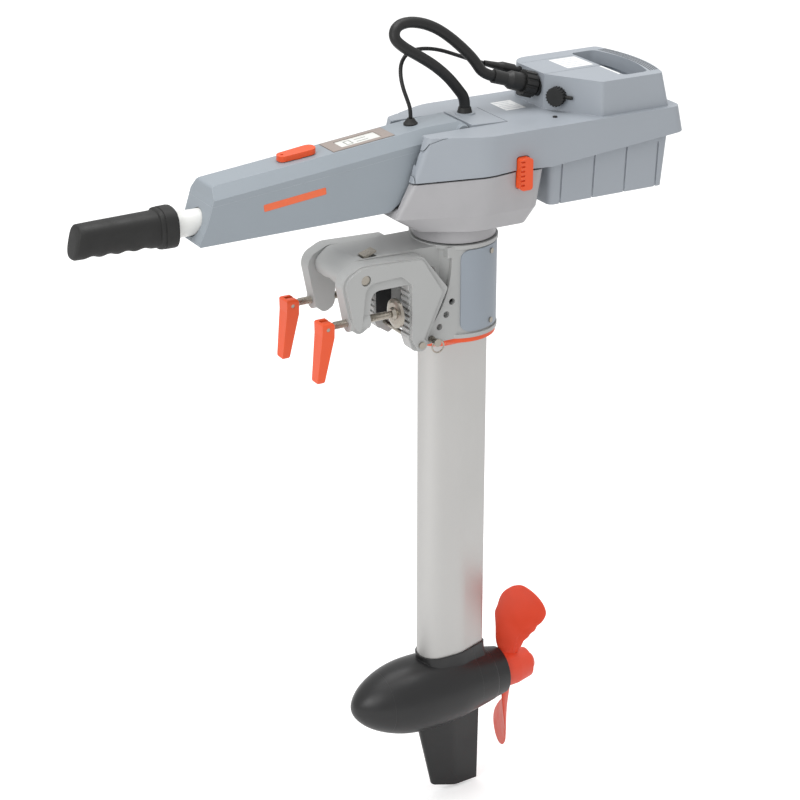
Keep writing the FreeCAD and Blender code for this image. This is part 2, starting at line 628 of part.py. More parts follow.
TUB_SECTIONS = [
    (60.0, 24.0, 38.0, 84.0, 72.0, 166.0),
    (82.0, -11.0, 43.0, 96.0, 81.0, 176.0),
    (146.0, 23.0, 50.0, 100.0, HEAD_HALF, 184.0)]
WING_SECTIONS = [
    (118.0, 7.7, 46.8, 100.0, HEAD_HALF, 402.0),
    (WING_TOP_Z, 30.0, 54.0, 98.0, HEAD_HALF - 1.0, BATTERY_REAR_X)]
SEAM_LINE = [(-60.0, 121.5), (134.0, 135.0), (192.0, 132.0), (202.0, 133.0), (430.0, 152.5)]


def below_seam(drop):
    """Everything under the line where the battery's skirt ends, lowered by a gap."""
    line = [(x, z - drop) for x, z in SEAM_LINE]
    return side_block([(-60.0, 0.0)] + line + [(430.0, 0.0)], -120.0, 120.0)


def tiller_slot(grow):
    """Space in the head that the tiller's root turns in."""
    low = [(-60.0, 86.0 - grow), (-12.0, 86.0 - grow), (26.0, 112.0 - grow), (DECK_FRONT_X - 1.0 + grow, 156.0 - grow)]
    return side_block(low + [(DECK_FRONT_X - 1.0 + grow, 210.0), (-60.0, 210.0)], -SLOT_HALF - grow, SLOT_HALF + grow)


def make_head_lower_shell():
    """Lower tub of the head with its neck, the saddle for the tiller and the mast for the deck."""
    outer = hull_loft(TUB_SECTIONS, 0.0)
    inner = hull_loft([(TUB_SECTIONS[0][0] + HEAD_WALL,) + TUB_SECTIONS[0][1:]] + TUB_SECTIONS[1:], HEAD_WALL)
    neck = rod(NECK_R, (STEER_X, 0, NECK_LOW_Z), (STEER_X, 0, 64.0))
    neck_room = rod(NECK_R - 4.0, (STEER_X, 0, NECK_LOW_Z + 4.0), (STEER_X, 0, 64.5)).cut(shaft_prism(4.0, 30.0, 70.0))
    tub = outer.common(below_seam(SEAM_DROP)).cut(inner)
    cradle = side_block([(-8.0, 84.0), (26.0, 109.0), (DECK_FRONT_X + 2.0, 154.0), (DECK_FRONT_X + 2.0, 180.0),
                         (DECK_REAR_X - 2.0, 180.0), (DECK_REAR_X - 2.0, 62.0), (30.0, 62.0)],
                        -SLOT_HALF - 4.0, SLOT_HALF + 4.0)
    cradle = cradle.common(hull_loft(TUB_SECTIONS, 0.5).fuse(
        box(20.0, DECK_REAR_X, -SLOT_HALF - 4.0, SLOT_HALF + 4.0, 120.0, 182.0)))
    room = side_block([(40.0, 66.0), (40.0, 110.0), (DECK_FRONT_X + 6.0, 149.0), (DECK_FRONT_X + 6.0, 176.0),
                       (DECK_REAR_X - 6.0, 176.0), (DECK_REAR_X - 6.0, 66.0)], -SLOT_HALF + 1.0, SLOT_HALF - 1.0)
    hinge_cheeks = [box(HINGE_X - 8.0, DECK_FRONT_X + 3.0, side - 2.0, side + 2.0, 146.0, HINGE_Z + 3.8)
                    for side in (-SLOT_HALF - 2.2, SLOT_HALF + 2.2)]
    shell = joined([tub, cradle, neck] + hinge_cheeks).cut(tiller_slot(0.0)).cut(room).cut(neck_room)
    shell = shell.cut(box(20.0, DECK_REAR_X, -SLOT_HALF - 9.0, -SLOT_HALF - 4.2, 138.0, 190.0))
    shell = shell.cut(shaft_prism(0.0, NECK_LOW_Z - 1.0, SHAFT_TOP_Z + 2.0))
    shell = shell.cut(rod(HINGE_R, (HINGE_X, -60.0, HINGE_Z), (HINGE_X, 60.0, HINGE_Z)))
    shell = shell.cut(rod(LOCK_R + FIT, (LOCK_X, -120.0, LOCK_Z), (LOCK_X, -50.0, LOCK_Z)))
    return shell.cut(lock_recess(-GAP))


def gland_point(route):
    """Where a cable leaves its gland."""
    return Vec(*route[0])


def make_head_deck():
    """Raised lid behind the tiller that the power cable leaves by."""
    half = SLOT_HALF - SHUT
    lid = side_plate([(DECK_FRONT_X, 180.4), (DECK_FRONT_X, DECK_TOP_Z), (DECK_REAR_X - 1.4, DECK_TOP_Z - 2.0),
                      (DECK_REAR_X - 1.4, 180.4)], 0.8, -half, half)
    exit_x, exit_y, exit_z = gland_point(POWER_ROUTE)
    boss = rod(13.0, (exit_x, exit_y, 182.0), (exit_x, exit_y, DECK_TOP_Z + 1.0))
    lid = joined([lid, boss])
    return lid.cut(rod(GLAND_R, (exit_x, exit_y, 170.0), (exit_x, exit_y, exit_z)))


def make_power_gland():
    """Rubber strain relief round the power cable where it leaves the deck."""
    exit_x, exit_y, exit_z = gland_point(POWER_ROUTE)
    return turned([Vec(exit_x, exit_y, 180.5), Vec(exit_x + GLAND_R, exit_y, 180.5),
                   Vec(exit_x + GLAND_R, exit_y, DECK_TOP_Z + 1.5), Vec(exit_x + 8.0, exit_y, exit_z),
                   Vec(exit_x, exit_y, exit_z)], Vec(exit_x, exit_y, 0), Vec(0, 0, 1))


def make_battery_locking_pin():
    """Removable pin with an orange grip that locks the battery to the head."""
    pin = rod(LOCK_R, (LOCK_X, -HEAD_HALF + 2.0, LOCK_Z), (LOCK_X, -HEAD_HALF + LOCK_LENGTH, LOCK_Z))
    pin = pin.common(box(LOCK_X - 9.0, LOCK_X + 9.0, -HEAD_HALF - 20.0, -SLOT_HALF - 6.0, 100.0, 160.0))
    grip = side_plate([(LOCK_X - 9.0, 111.0), (LOCK_X - 9.0, 152.0), (LOCK_X + 8.0, 152.0), (LOCK_X + 8.0, 111.0)],
                      4.0, -HEAD_HALF - 10.0, -HEAD_HALF + 3.0)
    whole = joined([pin, grip])
    for i in range(6):
        z = 117.0 + 6.0 * i
        whole = whole.cut(box(LOCK_X - 10.0, LOCK_X - 3.5, -HEAD_HALF - 11.0, -HEAD_HALF - 7.5, z, z + 2.4))
    return whole


def lock_recess(grow):
    """Pocket that the locking pin's grip sits in, across the seam."""
    return side_plate([(LOCK_X - 10.0 + grow, 110.0 - grow), (LOCK_X - 10.0 + grow, 153.0 + grow),
                       (LOCK_X + 9.0 - grow, 153.0 + grow), (LOCK_X + 9.0 - grow, 110.0 - grow)],
                      4.0, -HEAD_HALF - 2.0, -HEAD_HALF + 3.0 + GAP)


# ---------------------------------------------------------------- battery
def box_outline(inset, lean):
    """Plan outline of the raised box: bowed at the rear, its port front corner cut away."""
    front = BOX_FRONT_X + inset + lean * 0.1
    near = -BOX_HALF + inset + lean * 0.1
    rear = BOX_REAR_X + BOX_LEAN - inset - lean
    return [(front, BOX_CUT_Y), (BOX_CUT_X + inset, near), (rear, near), (rear + BOX_REAR_BOW, 0.0), (rear, -near),
            (front, -near)]


BOX_RADII = [4.0, 6.0, 8.0, 205.0, 8.0, 25.0]


def raised_box(inset):
    """Raised rear part of the battery with its leaning rear wall."""
    low = plan_wire(box_outline(inset, 0.0), BOX_RADII, WING_TOP_Z - 3.0)
    top = plan_wire(box_outline(inset, BOX_LEAN), BOX_RADII, BOX_TOP_Z - inset)
    return Part.makeLoft([low, top], True, True)


def handle_pocket():
    """Opening behind the box's flat top, with the hand room that runs under the bowed handle."""
    corner = HANDLE_CORNER_X
    opening = plan_plate([(HANDLE_FRONT_X, -HANDLE_HALF), (corner, -HANDLE_HALF), (corner + HANDLE_BOW, 0.0),
                          (corner, HANDLE_HALF), (HANDLE_FRONT_X, HANDLE_HALF)], [6.0, 10.0, 150.0, 10.0, 6.0],
                         190.0, BOX_TOP_Z + 5.0)
    under = side_plate([(HANDLE_FRONT_X + 10.0, 190.0), (366.0, 190.0), (359.0, 211.0), (HANDLE_FRONT_X + 10.0, 213.0)],
                       [1.0, 5.0, 5.0, 1.0], -HANDLE_HALF + 4.0, HANDLE_HALF - 4.0)
    return opening.fuse(under)


def rim_line(offset):
    """Line of the joint behind the head's front rim, in X and Z."""
    line = [(12.0, 100.0), (13.5, 137.0), (19.0, 158.0), (30.0, 177.0), (44.0, 182.6), (62.0, WING_TOP_Z + 2.5)]
    return [(x + offset, z - 0.5 * offset) for x, z in line]


def rim_joint():
    """Narrow dark joint between the front rim and the wings."""
    outline = rim_line(0.0) + rim_line(1.1)[::-1]
    band = hull_loft(WING_SECTIONS, 0.0).cut(hull_loft(WING_SECTIONS, 1.6))
    return side_block(outline, -100.0, 100.0).common(band)


def grooves(z_low):
    """Parting lines in the top of the raised box."""
    lines = [box(BOX_FRONT_X - 2.0, HANDLE_FRONT_X, y - 0.6, y + 0.6, z_low, BOX_TOP_Z + 2.0) for y in (-8.0, 52.0)]
    return lines


def make_battery_top_case():
    """Upper battery case: wings beside the tiller, flange, raised box with the carrying handle."""
    skirt = hull_loft(WING_SECTIONS, 0.0)
    skirt = skirt.cut(below_seam(-SHUT))
    skirt = skirt.cut(box(-60.0, DECK_REAR_X, -SLOT_HALF - SHUT, SLOT_HALF + SHUT, 60.0, 220.0))
    skirt = skirt.cut(box(18.0, DECK_REAR_X + 1.0, -SLOT_HALF - 5.0, SLOT_HALF + 5.0, 100.0, 182.4))
    case = joined([skirt, raised_box(0.0)])
    wall = HEAD_WALL
    rear_room = box(162.0, 377.0, -BOX_HALF - 4.0, BOX_HALF + 4.0, 100.0, WING_TOP_Z - wall)
    floor_lift = side_block([(150.0, 90.0), (150.0, 137.6), (202.0, 137.6), (430.0, 156.5), (430.0, 90.0)],
                            -120.0, 120.0)
    rear_open = box(BELLY_FRONT_X + 2.0, BELLY_REAR_X - 2.0, -BELLY_HALF + 2.5, BELLY_HALF - 2.5, 100.0, 170.0)
    case = case.cut(rear_room.cut(floor_lift)).cut(rear_open)
    for side in (-1, 1):
        y0, y1 = sorted((side * (SLOT_HALF + 8.0), side * (HEAD_HALF - 6.0)))
        wing_room = box(100.0, 163.0, y0, y1, 140.0, WING_TOP_Z - wall)
        case = case.cut(wing_room)
    box_room = raised_box(wall).common(box(200.0, HANDLE_FRONT_X - wall, -90.0, 90.0, 170.0, 240.0))
    case = case.cut(box_room)
    case = case.cut(handle_pocket()).cut(rim_joint())
    for groove in grooves(BOX_TOP_Z - 1.0):
        case = case.cut(groove)
    case = case.cut(lock_recess(0.0))
    case = case.cut(rod(LOCK_R + FIT, (LOCK_X, -120.0, LOCK_Z), (LOCK_X, -40.0, LOCK_Z)))
    case = case.cut(rod(BUTTON_R + 0.2, (BUTTON_X, BUTTON_Y, WING_TOP_Z - 8.0), (BUTTON_X, BUTTON_Y, WING_TOP_Z + 9.0)))
    for place, radius, depth in socket_places():
        start = place - PLUG_AXIS * 20.0
        case = case.cut(rod(radius, tuple(start), tuple(place + PLUG_AXIS * depth)))
    centre, normal = cap_place()
    return case.cut(rod(CAP_SOCKET_R, tuple(centre + normal * 8.0), tuple(centre - normal * 14.0)))


def cap_place():
    """Centre and outward normal of the charging port on the cut-away corner."""
    corner = Vec(BOX_FRONT_X + 1.0, BOX_CUT_Y, 0)
    along = (Vec(BOX_CUT_X + 1.0, -BOX_HALF + 1.0, 0) - corner).normalize()
    normal = Vec(along.y, -along.x, 0)
    return corner + along * CAP_ALONG + Vec(0, 0, CAP_Z), normal


def socket_places():
    """Face centre, radius and depth of the power and data sockets in the box's front."""
    places = []
    for route, radius, depth in ((POWER_ROUTE, POWER_SOCKET_R, 16.0), (DATA_ROUTE, DATA_SOCKET_R, 14.0)):
        start = Vec(*route[-1])
        places.append((start + PLUG_AXIS * ((BOX_FRONT_X - start.x) / PLUG_AXIS.x), radius, depth))
    return places


def make_battery_sockets():
    """Power, data and charging sockets held in the battery's walls."""
    sockets = []
    for place, radius, depth in socket_places():
        inner = place + PLUG_AXIS * (depth - 1.0)
        sockets.append(rod(radius, tuple(place - PLUG_AXIS * 1.0), tuple(inner)))
    centre, normal = cap_place()
    port = rod(CAP_SOCKET_R, tuple(centre), tuple(centre - normal * 13.0))
    port = port.cut(rod(6.5, tuple(centre + normal), tuple(centre - normal * 9.0)))
    sockets.append(port)
    return Part.makeCompound(sockets)


def make_charge_cap():
    """Ribbed rubber cap of the charging port, with its pull tab."""
    centre, normal = cap_place()
    skirt = rod(CAP_R, tuple(centre + normal * 1.0), tuple(centre + normal * 11.0))
    plug = rod(6.5 - 0.3, tuple(centre - normal * 6.0), tuple(centre + normal * 3.0))
    cap = joined([skirt, plug])
    along = Vec(-normal.y, normal.x, 0)
    for i in range(20):
        angle = math.radians(18.0 * i)
        offset = along * (CAP_R * math.cos(angle)) + Vec(0, 0, CAP_R * math.sin(angle))
        place = centre + offset
        cap = cap.cut(rod(1.2, tuple(place + normal * 1.0), tuple(place + normal * 14.0)))
    tab_start = centre + along * (CAP_R - 2.0) + normal * 4.0
    tab_end = centre + along * (CAP_R + 9.0) + normal * 4.0
    return joined([cap, rod(2.4, tuple(tab_start), tuple(tab_end))])


def make_power_button():
    """Small sprung on-off button in the case's top, kept in by a flange underneath."""
    ceiling = WING_TOP_Z - HEAD_WALL
    stem = rod(BUTTON_R, (BUTTON_X, BUTTON_Y, ceiling - 3.0), (BUTTON_X, BUTTON_Y, WING_TOP_Z + 1.4))
    flange = rod(BUTTON_R + 2.0, (BUTTON_X, BUTTON_Y, ceiling - 3.0), (BUTTON_X, BUTTON_Y, ceiling - GAP))
    return joined([stem, flange])


def belly(inset):
    """Lower battery body, a little narrower at the bottom."""
    low = [(BELLY_FRONT_X + 4.0 + inset, -BELLY_HALF + 5.0 + inset), (BELLY_REAR_X - 5.0 - inset, -BELLY_HALF + 5.0 + inset),
           (BELLY_REAR_X - 5.0 - inset, BELLY_HALF - 5.0 - inset), (BELLY_FRONT_X + 4.0 + inset, BELLY_HALF - 5.0 - inset)]
    top = [(BELLY_FRONT_X + inset, -BELLY_HALF + inset), (BELLY_REAR_X - inset, -BELLY_HALF + inset),
           (BELLY_REAR_X - inset, BELLY_HALF - inset), (BELLY_FRONT_X + inset, BELLY_HALF - inset)]
    return Part.makeLoft([plan_wire(low, 8.0, BELLY_LOW_Z + inset), plan_wire(top, 8.0, 160.0)], True, True)


def make_battery_bottom_case():
    """Ribbed lower battery case with its stepped side panels."""
    case = belly(0.0).cut(belly(HEAD_WALL))
    case = case.common(below_seam(0.0))
    for i in range(BELLY_RIB_COUNT):
        x = BELLY_FRONT_X + 20.0 + BELLY_RIB_PITCH * i
        for side in (-1, 1):
            groove = box(x - 1.4, x + 1.4, side * BELLY_HALF - 6.0, side * BELLY_HALF + 6.0, 60.0, 137.0)
            case = case.cut(groove.common(belly(0.0)).cut(belly(1.9)))
        case = case.cut(box(x - 1.4, x + 1.4, -BELLY_HALF, BELLY_HALF, BELLY_LOW_Z - 1.0, BELLY_LOW_Z + 1.9))
    return case


def make_battery_cells():
    """Lithium cell pack: round cells in a block, held by two trays."""
    cells = []
    pitch_x = 20.4
    pitch_y = 21.0
    for row in range(8):
        for column in range(6):
            x = BELLY_FRONT_X + 19.5 + pitch_x * row
            y = (column - 2.5) * pitch_y
            cells.append(rod(9.2, (x, y, 86.0), (x, y, 151.0)))
    tray = box(BELLY_FRONT_X + 9.0, BELLY_FRONT_X + 173.0, -63.0, 63.0, BELLY_LOW_Z + 6.0, 89.0)
    lid = box(BELLY_FRONT_X + 9.0, BELLY_FRONT_X + 173.0, -63.0, 63.0, 148.0, 152.0)
    return joined([tray, lid] + cells)


# ---------------------------------------------------------------- tiller
TILLER_PROFILE = [
    (-274.0, 88.0), (-262.0, 112.0), (-252.0, 143.0), (-249.0, 157.5), (-107.0, 172.0), (0.0, 183.5), (40.0, 188.0),
    (HINGE_X, 190.0), (101.0, 184.0), (101.0, 172.0), (HINGE_X - 4.0, 166.0), (26.0, 118.0), (-14.0, 90.0)]
TILLER_RADII = [2.0, 20.0, 6.0, 5.0, 200.0, 200.0, 90.0, 6.0, 4.0, 4.0, 6.0, 20.0, 12.0]
BEVEL_STATIONS = [(-290.0, 139.0, 152.5), (-107.0, 156.5, 172.0), (18.0, 169.0, 186.0), (110.0, 174.0, 192.0)]


def bevel_cutter(side, inset):
    """Wedge above the tiller's sloping shoulder on one side."""
    wires = []
    for x, low, top in BEVEL_STATIONS:
        top_half = TILLER_TOP_HALF - 0.5 * inset
        half = TILLER_HALF - inset
        triangle = [Vec(x, side * (half + 8.0), low - inset * 1.2 - 9.0), Vec(x, side * top_half, top - inset * 1.2 + 0.4),
                    Vec(x, side * top_half, top + 40.0), Vec(x, side * (half + 8.0), top + 40.0)]
        wires.append(Part.makePolygon(triangle + triangle[:1]))
    return Part.makeLoft(wires, True, True)


def tiller_form(inset):
    """Outer form of the tiller, moved inwards by the wall."""
    face = Part.Face(side_wire(TILLER_PROFILE, TILLER_RADII, -TILLER_HALF + inset))
    if inset:
        face = face.makeOffset2D(-inset)
    form = face.extrude(Vec(0, 2.0 * (TILLER_HALF - inset), 0))
    return form.cut(bevel_cutter(-1, inset)).cut(bevel_cutter(1, inset))


def above_shoulder(drop):
    """Everything above the tiller's parting line."""
    low = [(x, side_low - 7.0 - drop) for x, side_low, top in BEVEL_STATIONS]
    return side_block(low + [(110.0, 260.0), (-290.0, 260.0)], -50.0, 50.0)


def make_tiller_lower_shell():
    """Lower tiller shell with the bearing for the throttle tube."""
    shell = tiller_form(0.0).cut(tiller_form(TILLER_WALL)).cut(above_shoulder(0.0))
    bearing = sleeve(TUBE_R + 5.0, TUBE_R + FIT, (-240.0, 0, GRIP_Z), (-222.0, 0, GRIP_Z))
    web = box(-238.0, -232.0, -TILLER_HALF + 1.0, TILLER_HALF - 1.0, 88.5, 136.0)
    shell = joined([shell, web.cut(rod(TUBE_R + 4.0, (-242.0, 0, GRIP_Z), (-220.0, 0, GRIP_Z))), bearing])
    return shell.cut(rod(TUBE_R + 1.0, (-290.0, 0, GRIP_Z), (-240.5, 0, GRIP_Z)))


def make_tiller_top_cover():
    """Upper tiller cover with the display window, the key seat and the hinge knuckle."""
    cover = tiller_form(0.0).cut(tiller_form(TILLER_WALL)).common(above_shoulder(0.0))
    knuckle = rod(8.0, (HINGE_X, -TILLER_HALF + 1.0, HINGE_Z), (HINGE_X, TILLER_HALF - 1.0, HINGE_Z))
    cover = joined([cover, knuckle])
    cover = cover.cut(rod(HINGE_R + FIT, (HINGE_X, -40.0, HINGE_Z), (HINGE_X, 40.0, HINGE_Z)))
    cover = cover.cut(display_block(0.3, 20.0, -8.0))
    exit_x, exit_y, exit_z = gland_point(DATA_ROUTE)
    cover = cover.cut(rod(5.5, (exit_x, exit_y, 170.0), (exit_x, exit_y, exit_z)))
    return cover.cut(key_seat())


def top_line(x):
    """Height of the tiller's flat top at one station."""
    return 172.0 + (183.5 - 172.0) * (x + 107.0) / 107.0


def display_block(grow, up, down):
    """Slab that follows the tiller's top at the display."""
    x0 = DISPLAY_FRONT_X - grow
    x1 = DISPLAY_REAR_X + grow
    outline = [(x0, top_line(x0) + down), (x1, top_line(x1) + down), (x1, top_line(x1) + up), (x0, top_line(x0) + up)]
    return side_block(outline, -DISPLAY_HALF - grow, DISPLAY_HALF + grow)


def make_display_bezel():
    """Frame of the display."""
    frame = display_block(0.0, 0.8, -5.0)
    window = [(DISPLAY_FRONT_X + 15.0, -12.0), (DISPLAY_REAR_X - 14.0, -12.0), (DISPLAY_REAR_X - 14.0, 12.0),
              (DISPLAY_FRONT_X + 15.0, 12.0)]
    return frame.cut(plan_plate(window, 1.5, 150.0, 210.0))


def make_display_glass():
    """Clear window over the liquid crystal panel."""
    slab = display_block(0.0, -0.2, -3.0)
    window = [(DISPLAY_FRONT_X + 15.0, -12.0), (DISPLAY_REAR_X - 14.0, -12.0), (DISPLAY_REAR_X - 14.0, 12.0),
              (DISPLAY_FRONT_X + 15.0, 12.0)]
    return slab.common(plan_plate(window, 1.5, 150.0, 210.0))


def key_seat():
    """Shallow round recess that the magnetic key sits in."""
    z = top_line(KEY_X)
    return rod(10.5, (KEY_X, 0, z - 1.2), (KEY_X, 0, z + 12.0))


def make_stop_key():
    """Magnetic stop key: an oblong chip with a lanyard hole and a magnet foot."""
    z = top_line(KEY_X)
    slope = (183.5 - 172.0) / 107.0
    chip = plan_plate([(KEY_X - KEY_REACH, -9.0), (KEY_X + KEY_REACH, -11.0), (KEY_X + KEY_REACH, 11.0),
                       (KEY_X - KEY_REACH, 9.0)], [8.0, 9.0, 9.0, 8.0], z - 10.0, z + 20.0)
    slab = side_block([(KEY_X - 40.0, z + 1.0 - 40.0 * slope), (KEY_X + 40.0, z + 1.0 + 40.0 * slope),
                       (KEY_X + 40.0, z + 8.0 + 40.0 * slope), (KEY_X - 40.0, z + 8.0 - 40.0 * slope)], -20.0, 20.0)
    foot = rod(9.5, (KEY_X, 0, z - 0.9), (KEY_X, 0, z + 4.0))
    key = joined([chip.common(slab), foot])
    return key.cut(rod(2.2, (KEY_X - 19.0, 0, z - 20.0), (KEY_X - 19.0, 0, z + 20.0)))


def make_data_gland():
    """Rubber grommet of the data cable in the tiller's top."""
    exit_x, exit_y, exit_z = gland_point(DATA_ROUTE)
    stem = rod(5.4, (exit_x, exit_y, 180.0), (exit_x, exit_y, exit_z - 4.0))
    rim = turned([Vec(exit_x, exit_y, 184.0), Vec(exit_x + 9.0, exit_y, 184.0), Vec(exit_x + 9.0, exit_y, 189.0),
                  Vec(exit_x + 7.5, exit_y, 190.5), Vec(exit_x + 4.5, exit_y, exit_z), Vec(exit_x, exit_y, exit_z)],
                 Vec(exit_x, exit_y, 0), Vec(0, 0, 1))
    return joined([stem, rim.cut(tiller_form(0.0))])


def make_tiller_hinge_pin():
    """Pin that the tiller folds about."""
    return rod(HINGE_R, (HINGE_X, -SLOT_HALF - 4.0, HINGE_Z), (HINGE_X, SLOT_HALF + 4.0, HINGE_Z))


def make_throttle_sensor():
    """Sensor ring on the inner end of the bearing."""
    return sleeve(TUBE_R + 2.6, TUBE_R + 0.6, (-221.7, 0, GRIP_Z), (-214.0, 0, GRIP_Z))


def make_throttle_tube():
    """White plastic tube that carries the grip and turns in the tiller."""
    tube = sleeve(TUBE_R, TUBE_R - TUBE_WALL, (GRIP_TIP_X + 12.0, 0, GRIP_Z), (TUBE_REAR_X, 0, GRIP_Z))
    stop = sleeve(TUBE_R + 2.4, TUBE_R - TUBE_WALL, (TUBE_REAR_X - 4.0, 0, GRIP_Z), (TUBE_REAR_X, 0, GRIP_Z))
    return joined([tube, stop])


def make_throttle_grip():
    """Rubber grip with finger hollows underneath and a collar at the tiller end."""
    stations = [(GRIP_TIP_X, GRIP_R - 3.0), (GRIP_TIP_X + 2.5, GRIP_R - 0.5), (GRIP_TIP_X + 10.0, GRIP_R),
                (-318.0, GRIP_R + 1.5), (-312.0, GRIP_R + 2.0), (-304.0, GRIP_COLLAR_R - 1.0),
                (-300.0, GRIP_COLLAR_R), (-295.0, GRIP_COLLAR_R), (GRIP_REAR_X, GRIP_COLLAR_R - 1.5)]
    grip = turned_along_x(stations, 0, GRIP_Z)
    for i in range(4):
        x = GRIP_TIP_X + 22.0 + 24.0 * i
        grip = grip.cut(rod(24.0, (x, -40.0, GRIP_Z - GRIP_R - 20.8), (x, 40.0, GRIP_Z - GRIP_R - 20.8)))
    return grip.cut(rod(TUBE_R, (GRIP_TIP_X + 12.0, 0, GRIP_Z), (GRIP_REAR_X + 5.0, 0, GRIP_Z)))


# ---------------------------------------------------------------- pylon
PYLON_STATIONS = [(-50.0, 14.5), (-38.0, 27.0), (-15.0, 40.5), (15.0, 50.0), (48.0, PYLON_R), (85.0, 51.5),
                  (125.0, 45.0), (155.0, 38.5)]


def pylon_solid(shrink):
    """Torpedo body turned about the propeller axis."""
    nose = Vec(PYLON_NOSE_X + shrink, 0, PROP_AXIS_Z)
    rim = Vec(PYLON_REAR_X, 0, PROP_AXIS_Z + PYLON_REAR_R - shrink)
    inner = [Vec(x, 0, PROP_AXIS_Z + r - shrink) for x, r in PYLON_STATIONS if r > shrink + 8.0]
    curve = Part.BSplineCurve()
    curve.interpolate(Points=[nose] + inner + [rim], InitialTangent=Vec(0, 0, 1), FinalTangent=Vec(1, 0, -0.2),
                      Scale=True)
    end = Vec(PYLON_REAR_X, 0, PROP_AXIS_Z)
    edges = [curve.toShape(), Part.LineSegment(rim, end).toShape(), Part.LineSegment(end, nose).toShape()]
    return Part.Face(Part.Wire(edges)).revolve(nose, Vec(1, 0, 0), 360)


def pylon_slice(shape, x0, x1):
    """Part of the torpedo between two stations."""
    return shape.common(box(x0, x1, -80.0, 80.0, PROP_AXIS_Z - 80.0, PROP_AXIS_Z + 80.0))


def neck_fairing():
    """Socket round the shaft that flares into the torpedo."""
    wires = [shaft_outline(2.0, SOCKET_TOP_Z), shaft_outline(2.4, SOCKET_TOP_Z - 10.0),
             shaft_outline(4.5, SOCKET_TOP_Z - 20.0), shaft_outline(12.0, SOCKET_TOP_Z - 32.0)]
    return Part.makeLoft(wires, True, False)


def pylon_form():
    """Outer form of the pod: the torpedo and the socket for the shaft."""
    return joined([pylon_solid(0.0), neck_fairing()])


def make_pylon_housing():
    """Motor housing with the front of the socket that the shaft is glued into."""
    housing = pylon_slice(pylon_form(), NOSE_SPLIT_X, TAIL_SPLIT_X)
    room = rod(STATOR_R, (NOSE_SPLIT_X - 1.0, 0, PROP_AXIS_Z), (98.0, 0, PROP_AXIS_Z))
    room = room.common(pylon_solid(PYLON_WALL))
    gearroom = rod(38.5, (97.0, 0, PROP_AXIS_Z), (TAIL_SPLIT_X + 1.0, 0, PROP_AXIS_Z))
    step = rod(24.0, (STATOR_REAR_X + 6.0, 0, PROP_AXIS_Z), (TAIL_SPLIT_X + 1.0, 0, PROP_AXIS_Z))
    housing = housing.cut(room).cut(gearroom).cut(step)
    housing = housing.cut(shaft_prism(0.0, SOCKET_TOP_Z - SOCKET_DEPTH, SOCKET_TOP_Z + 1.0))
    return housing.cut(rod(9.0, (STEER_X - 16.0, 0, PROP_AXIS_Z + 30.0), (STEER_X - 16.0, 0, SOCKET_TOP_Z)))


def make_pylon_nose():
    """Round nose cap with its spigot."""
    cap = pylon_slice(pylon_solid(0.0), PYLON_NOSE_X - 5.0, NOSE_SPLIT_X)
    room = pylon_slice(pylon_solid(PYLON_WALL), PYLON_NOSE_X - 5.0, NOSE_SPLIT_X + 1.0)
    return cap.cut(room)


def make_pylon_tail_cover():
    """Rear cover with the back of the shaft's socket and the bearing seat for the propeller shaft."""
    cover = pylon_slice(pylon_form(), TAIL_SPLIT_X, PYLON_REAR_X)
    room = rod(30.0, (TAIL_SPLIT_X - 1.0, 0, PROP_AXIS_Z), (TAIL_SPLIT_X + 12.0, 0, PROP_AXIS_Z))
    seat = rod(BEARING_OUT_R, (TAIL_SPLIT_X - 1.0, 0, PROP_AXIS_Z), (BEARING_X + BEARING_WIDTH, 0, PROP_AXIS_Z))
    hub_room = rod(HUB_FRONT_R + 2.5, (PYLON_REAR_X - 7.0, 0, PROP_AXIS_Z), (PYLON_REAR_X + 1.0, 0, PROP_AXIS_Z))
    way = rod(PROP_SHAFT_R + 2.0, (TAIL_SPLIT_X - 1.0, 0, PROP_AXIS_Z), (PYLON_REAR_X + 1.0, 0, PROP_AXIS_Z))
    cover = cover.cut(shaft_prism(0.0, SOCKET_TOP_Z - SOCKET_DEPTH, SOCKET_TOP_Z + 1.0))
    return cover.cut(room).cut(seat).cut(way).cut(hub_room)


def make_output_bearing():
    """Sealed bearing of the propeller shaft, drawn as one ring."""
    return sleeve(BEARING_OUT_R, PROP_SHAFT_R + FIT, (BEARING_X, 0, PROP_AXIS_Z),
                  (BEARING_X + BEARING_WIDTH - 0.5, 0, PROP_AXIS_Z))


def make_fin():
    """Skeg under the torpedo."""
    top_z = PROP_AXIS_Z - 30.0
    top = [(42.0, -7.0), (95.0, -11.0), (146.0, -1.8), (146.0, 1.8), (95.0, 11.0), (42.0, 7.0)]
    low = [(72.0, -4.0), (105.0, -6.0), (144.0, -1.4), (144.0, 1.4), (105.0, 6.0), (72.0, 4.0)]
    wires = [plan_wire(top, [6.6, 60.0, 1.6, 1.6, 60.0, 6.6], top_z),
             plan_wire(low, [3.7, 60.0, 1.2, 1.2, 60.0, 3.7], FIN_LOW_Z)]
    fin = Part.makeLoft(wires, True, True)
    fin = fin.cut(pylon_solid(-0.08))
    bottom = side_plate([(30.0, -600.0), (30.0, FIN_LOW_Z + 50.0), (70.0, FIN_LOW_Z + 11.0), (105.0, FIN_LOW_Z + 1.5),
                         (150.0, FIN_LOW_Z), (150.0, -600.0)], [1.0, 5.0, 10.0, 60.0, 3.0, 1.0], -20.0, 20.0)
    return max(fin.common(bottom).Solids, key=lambda solid: solid.Volume)


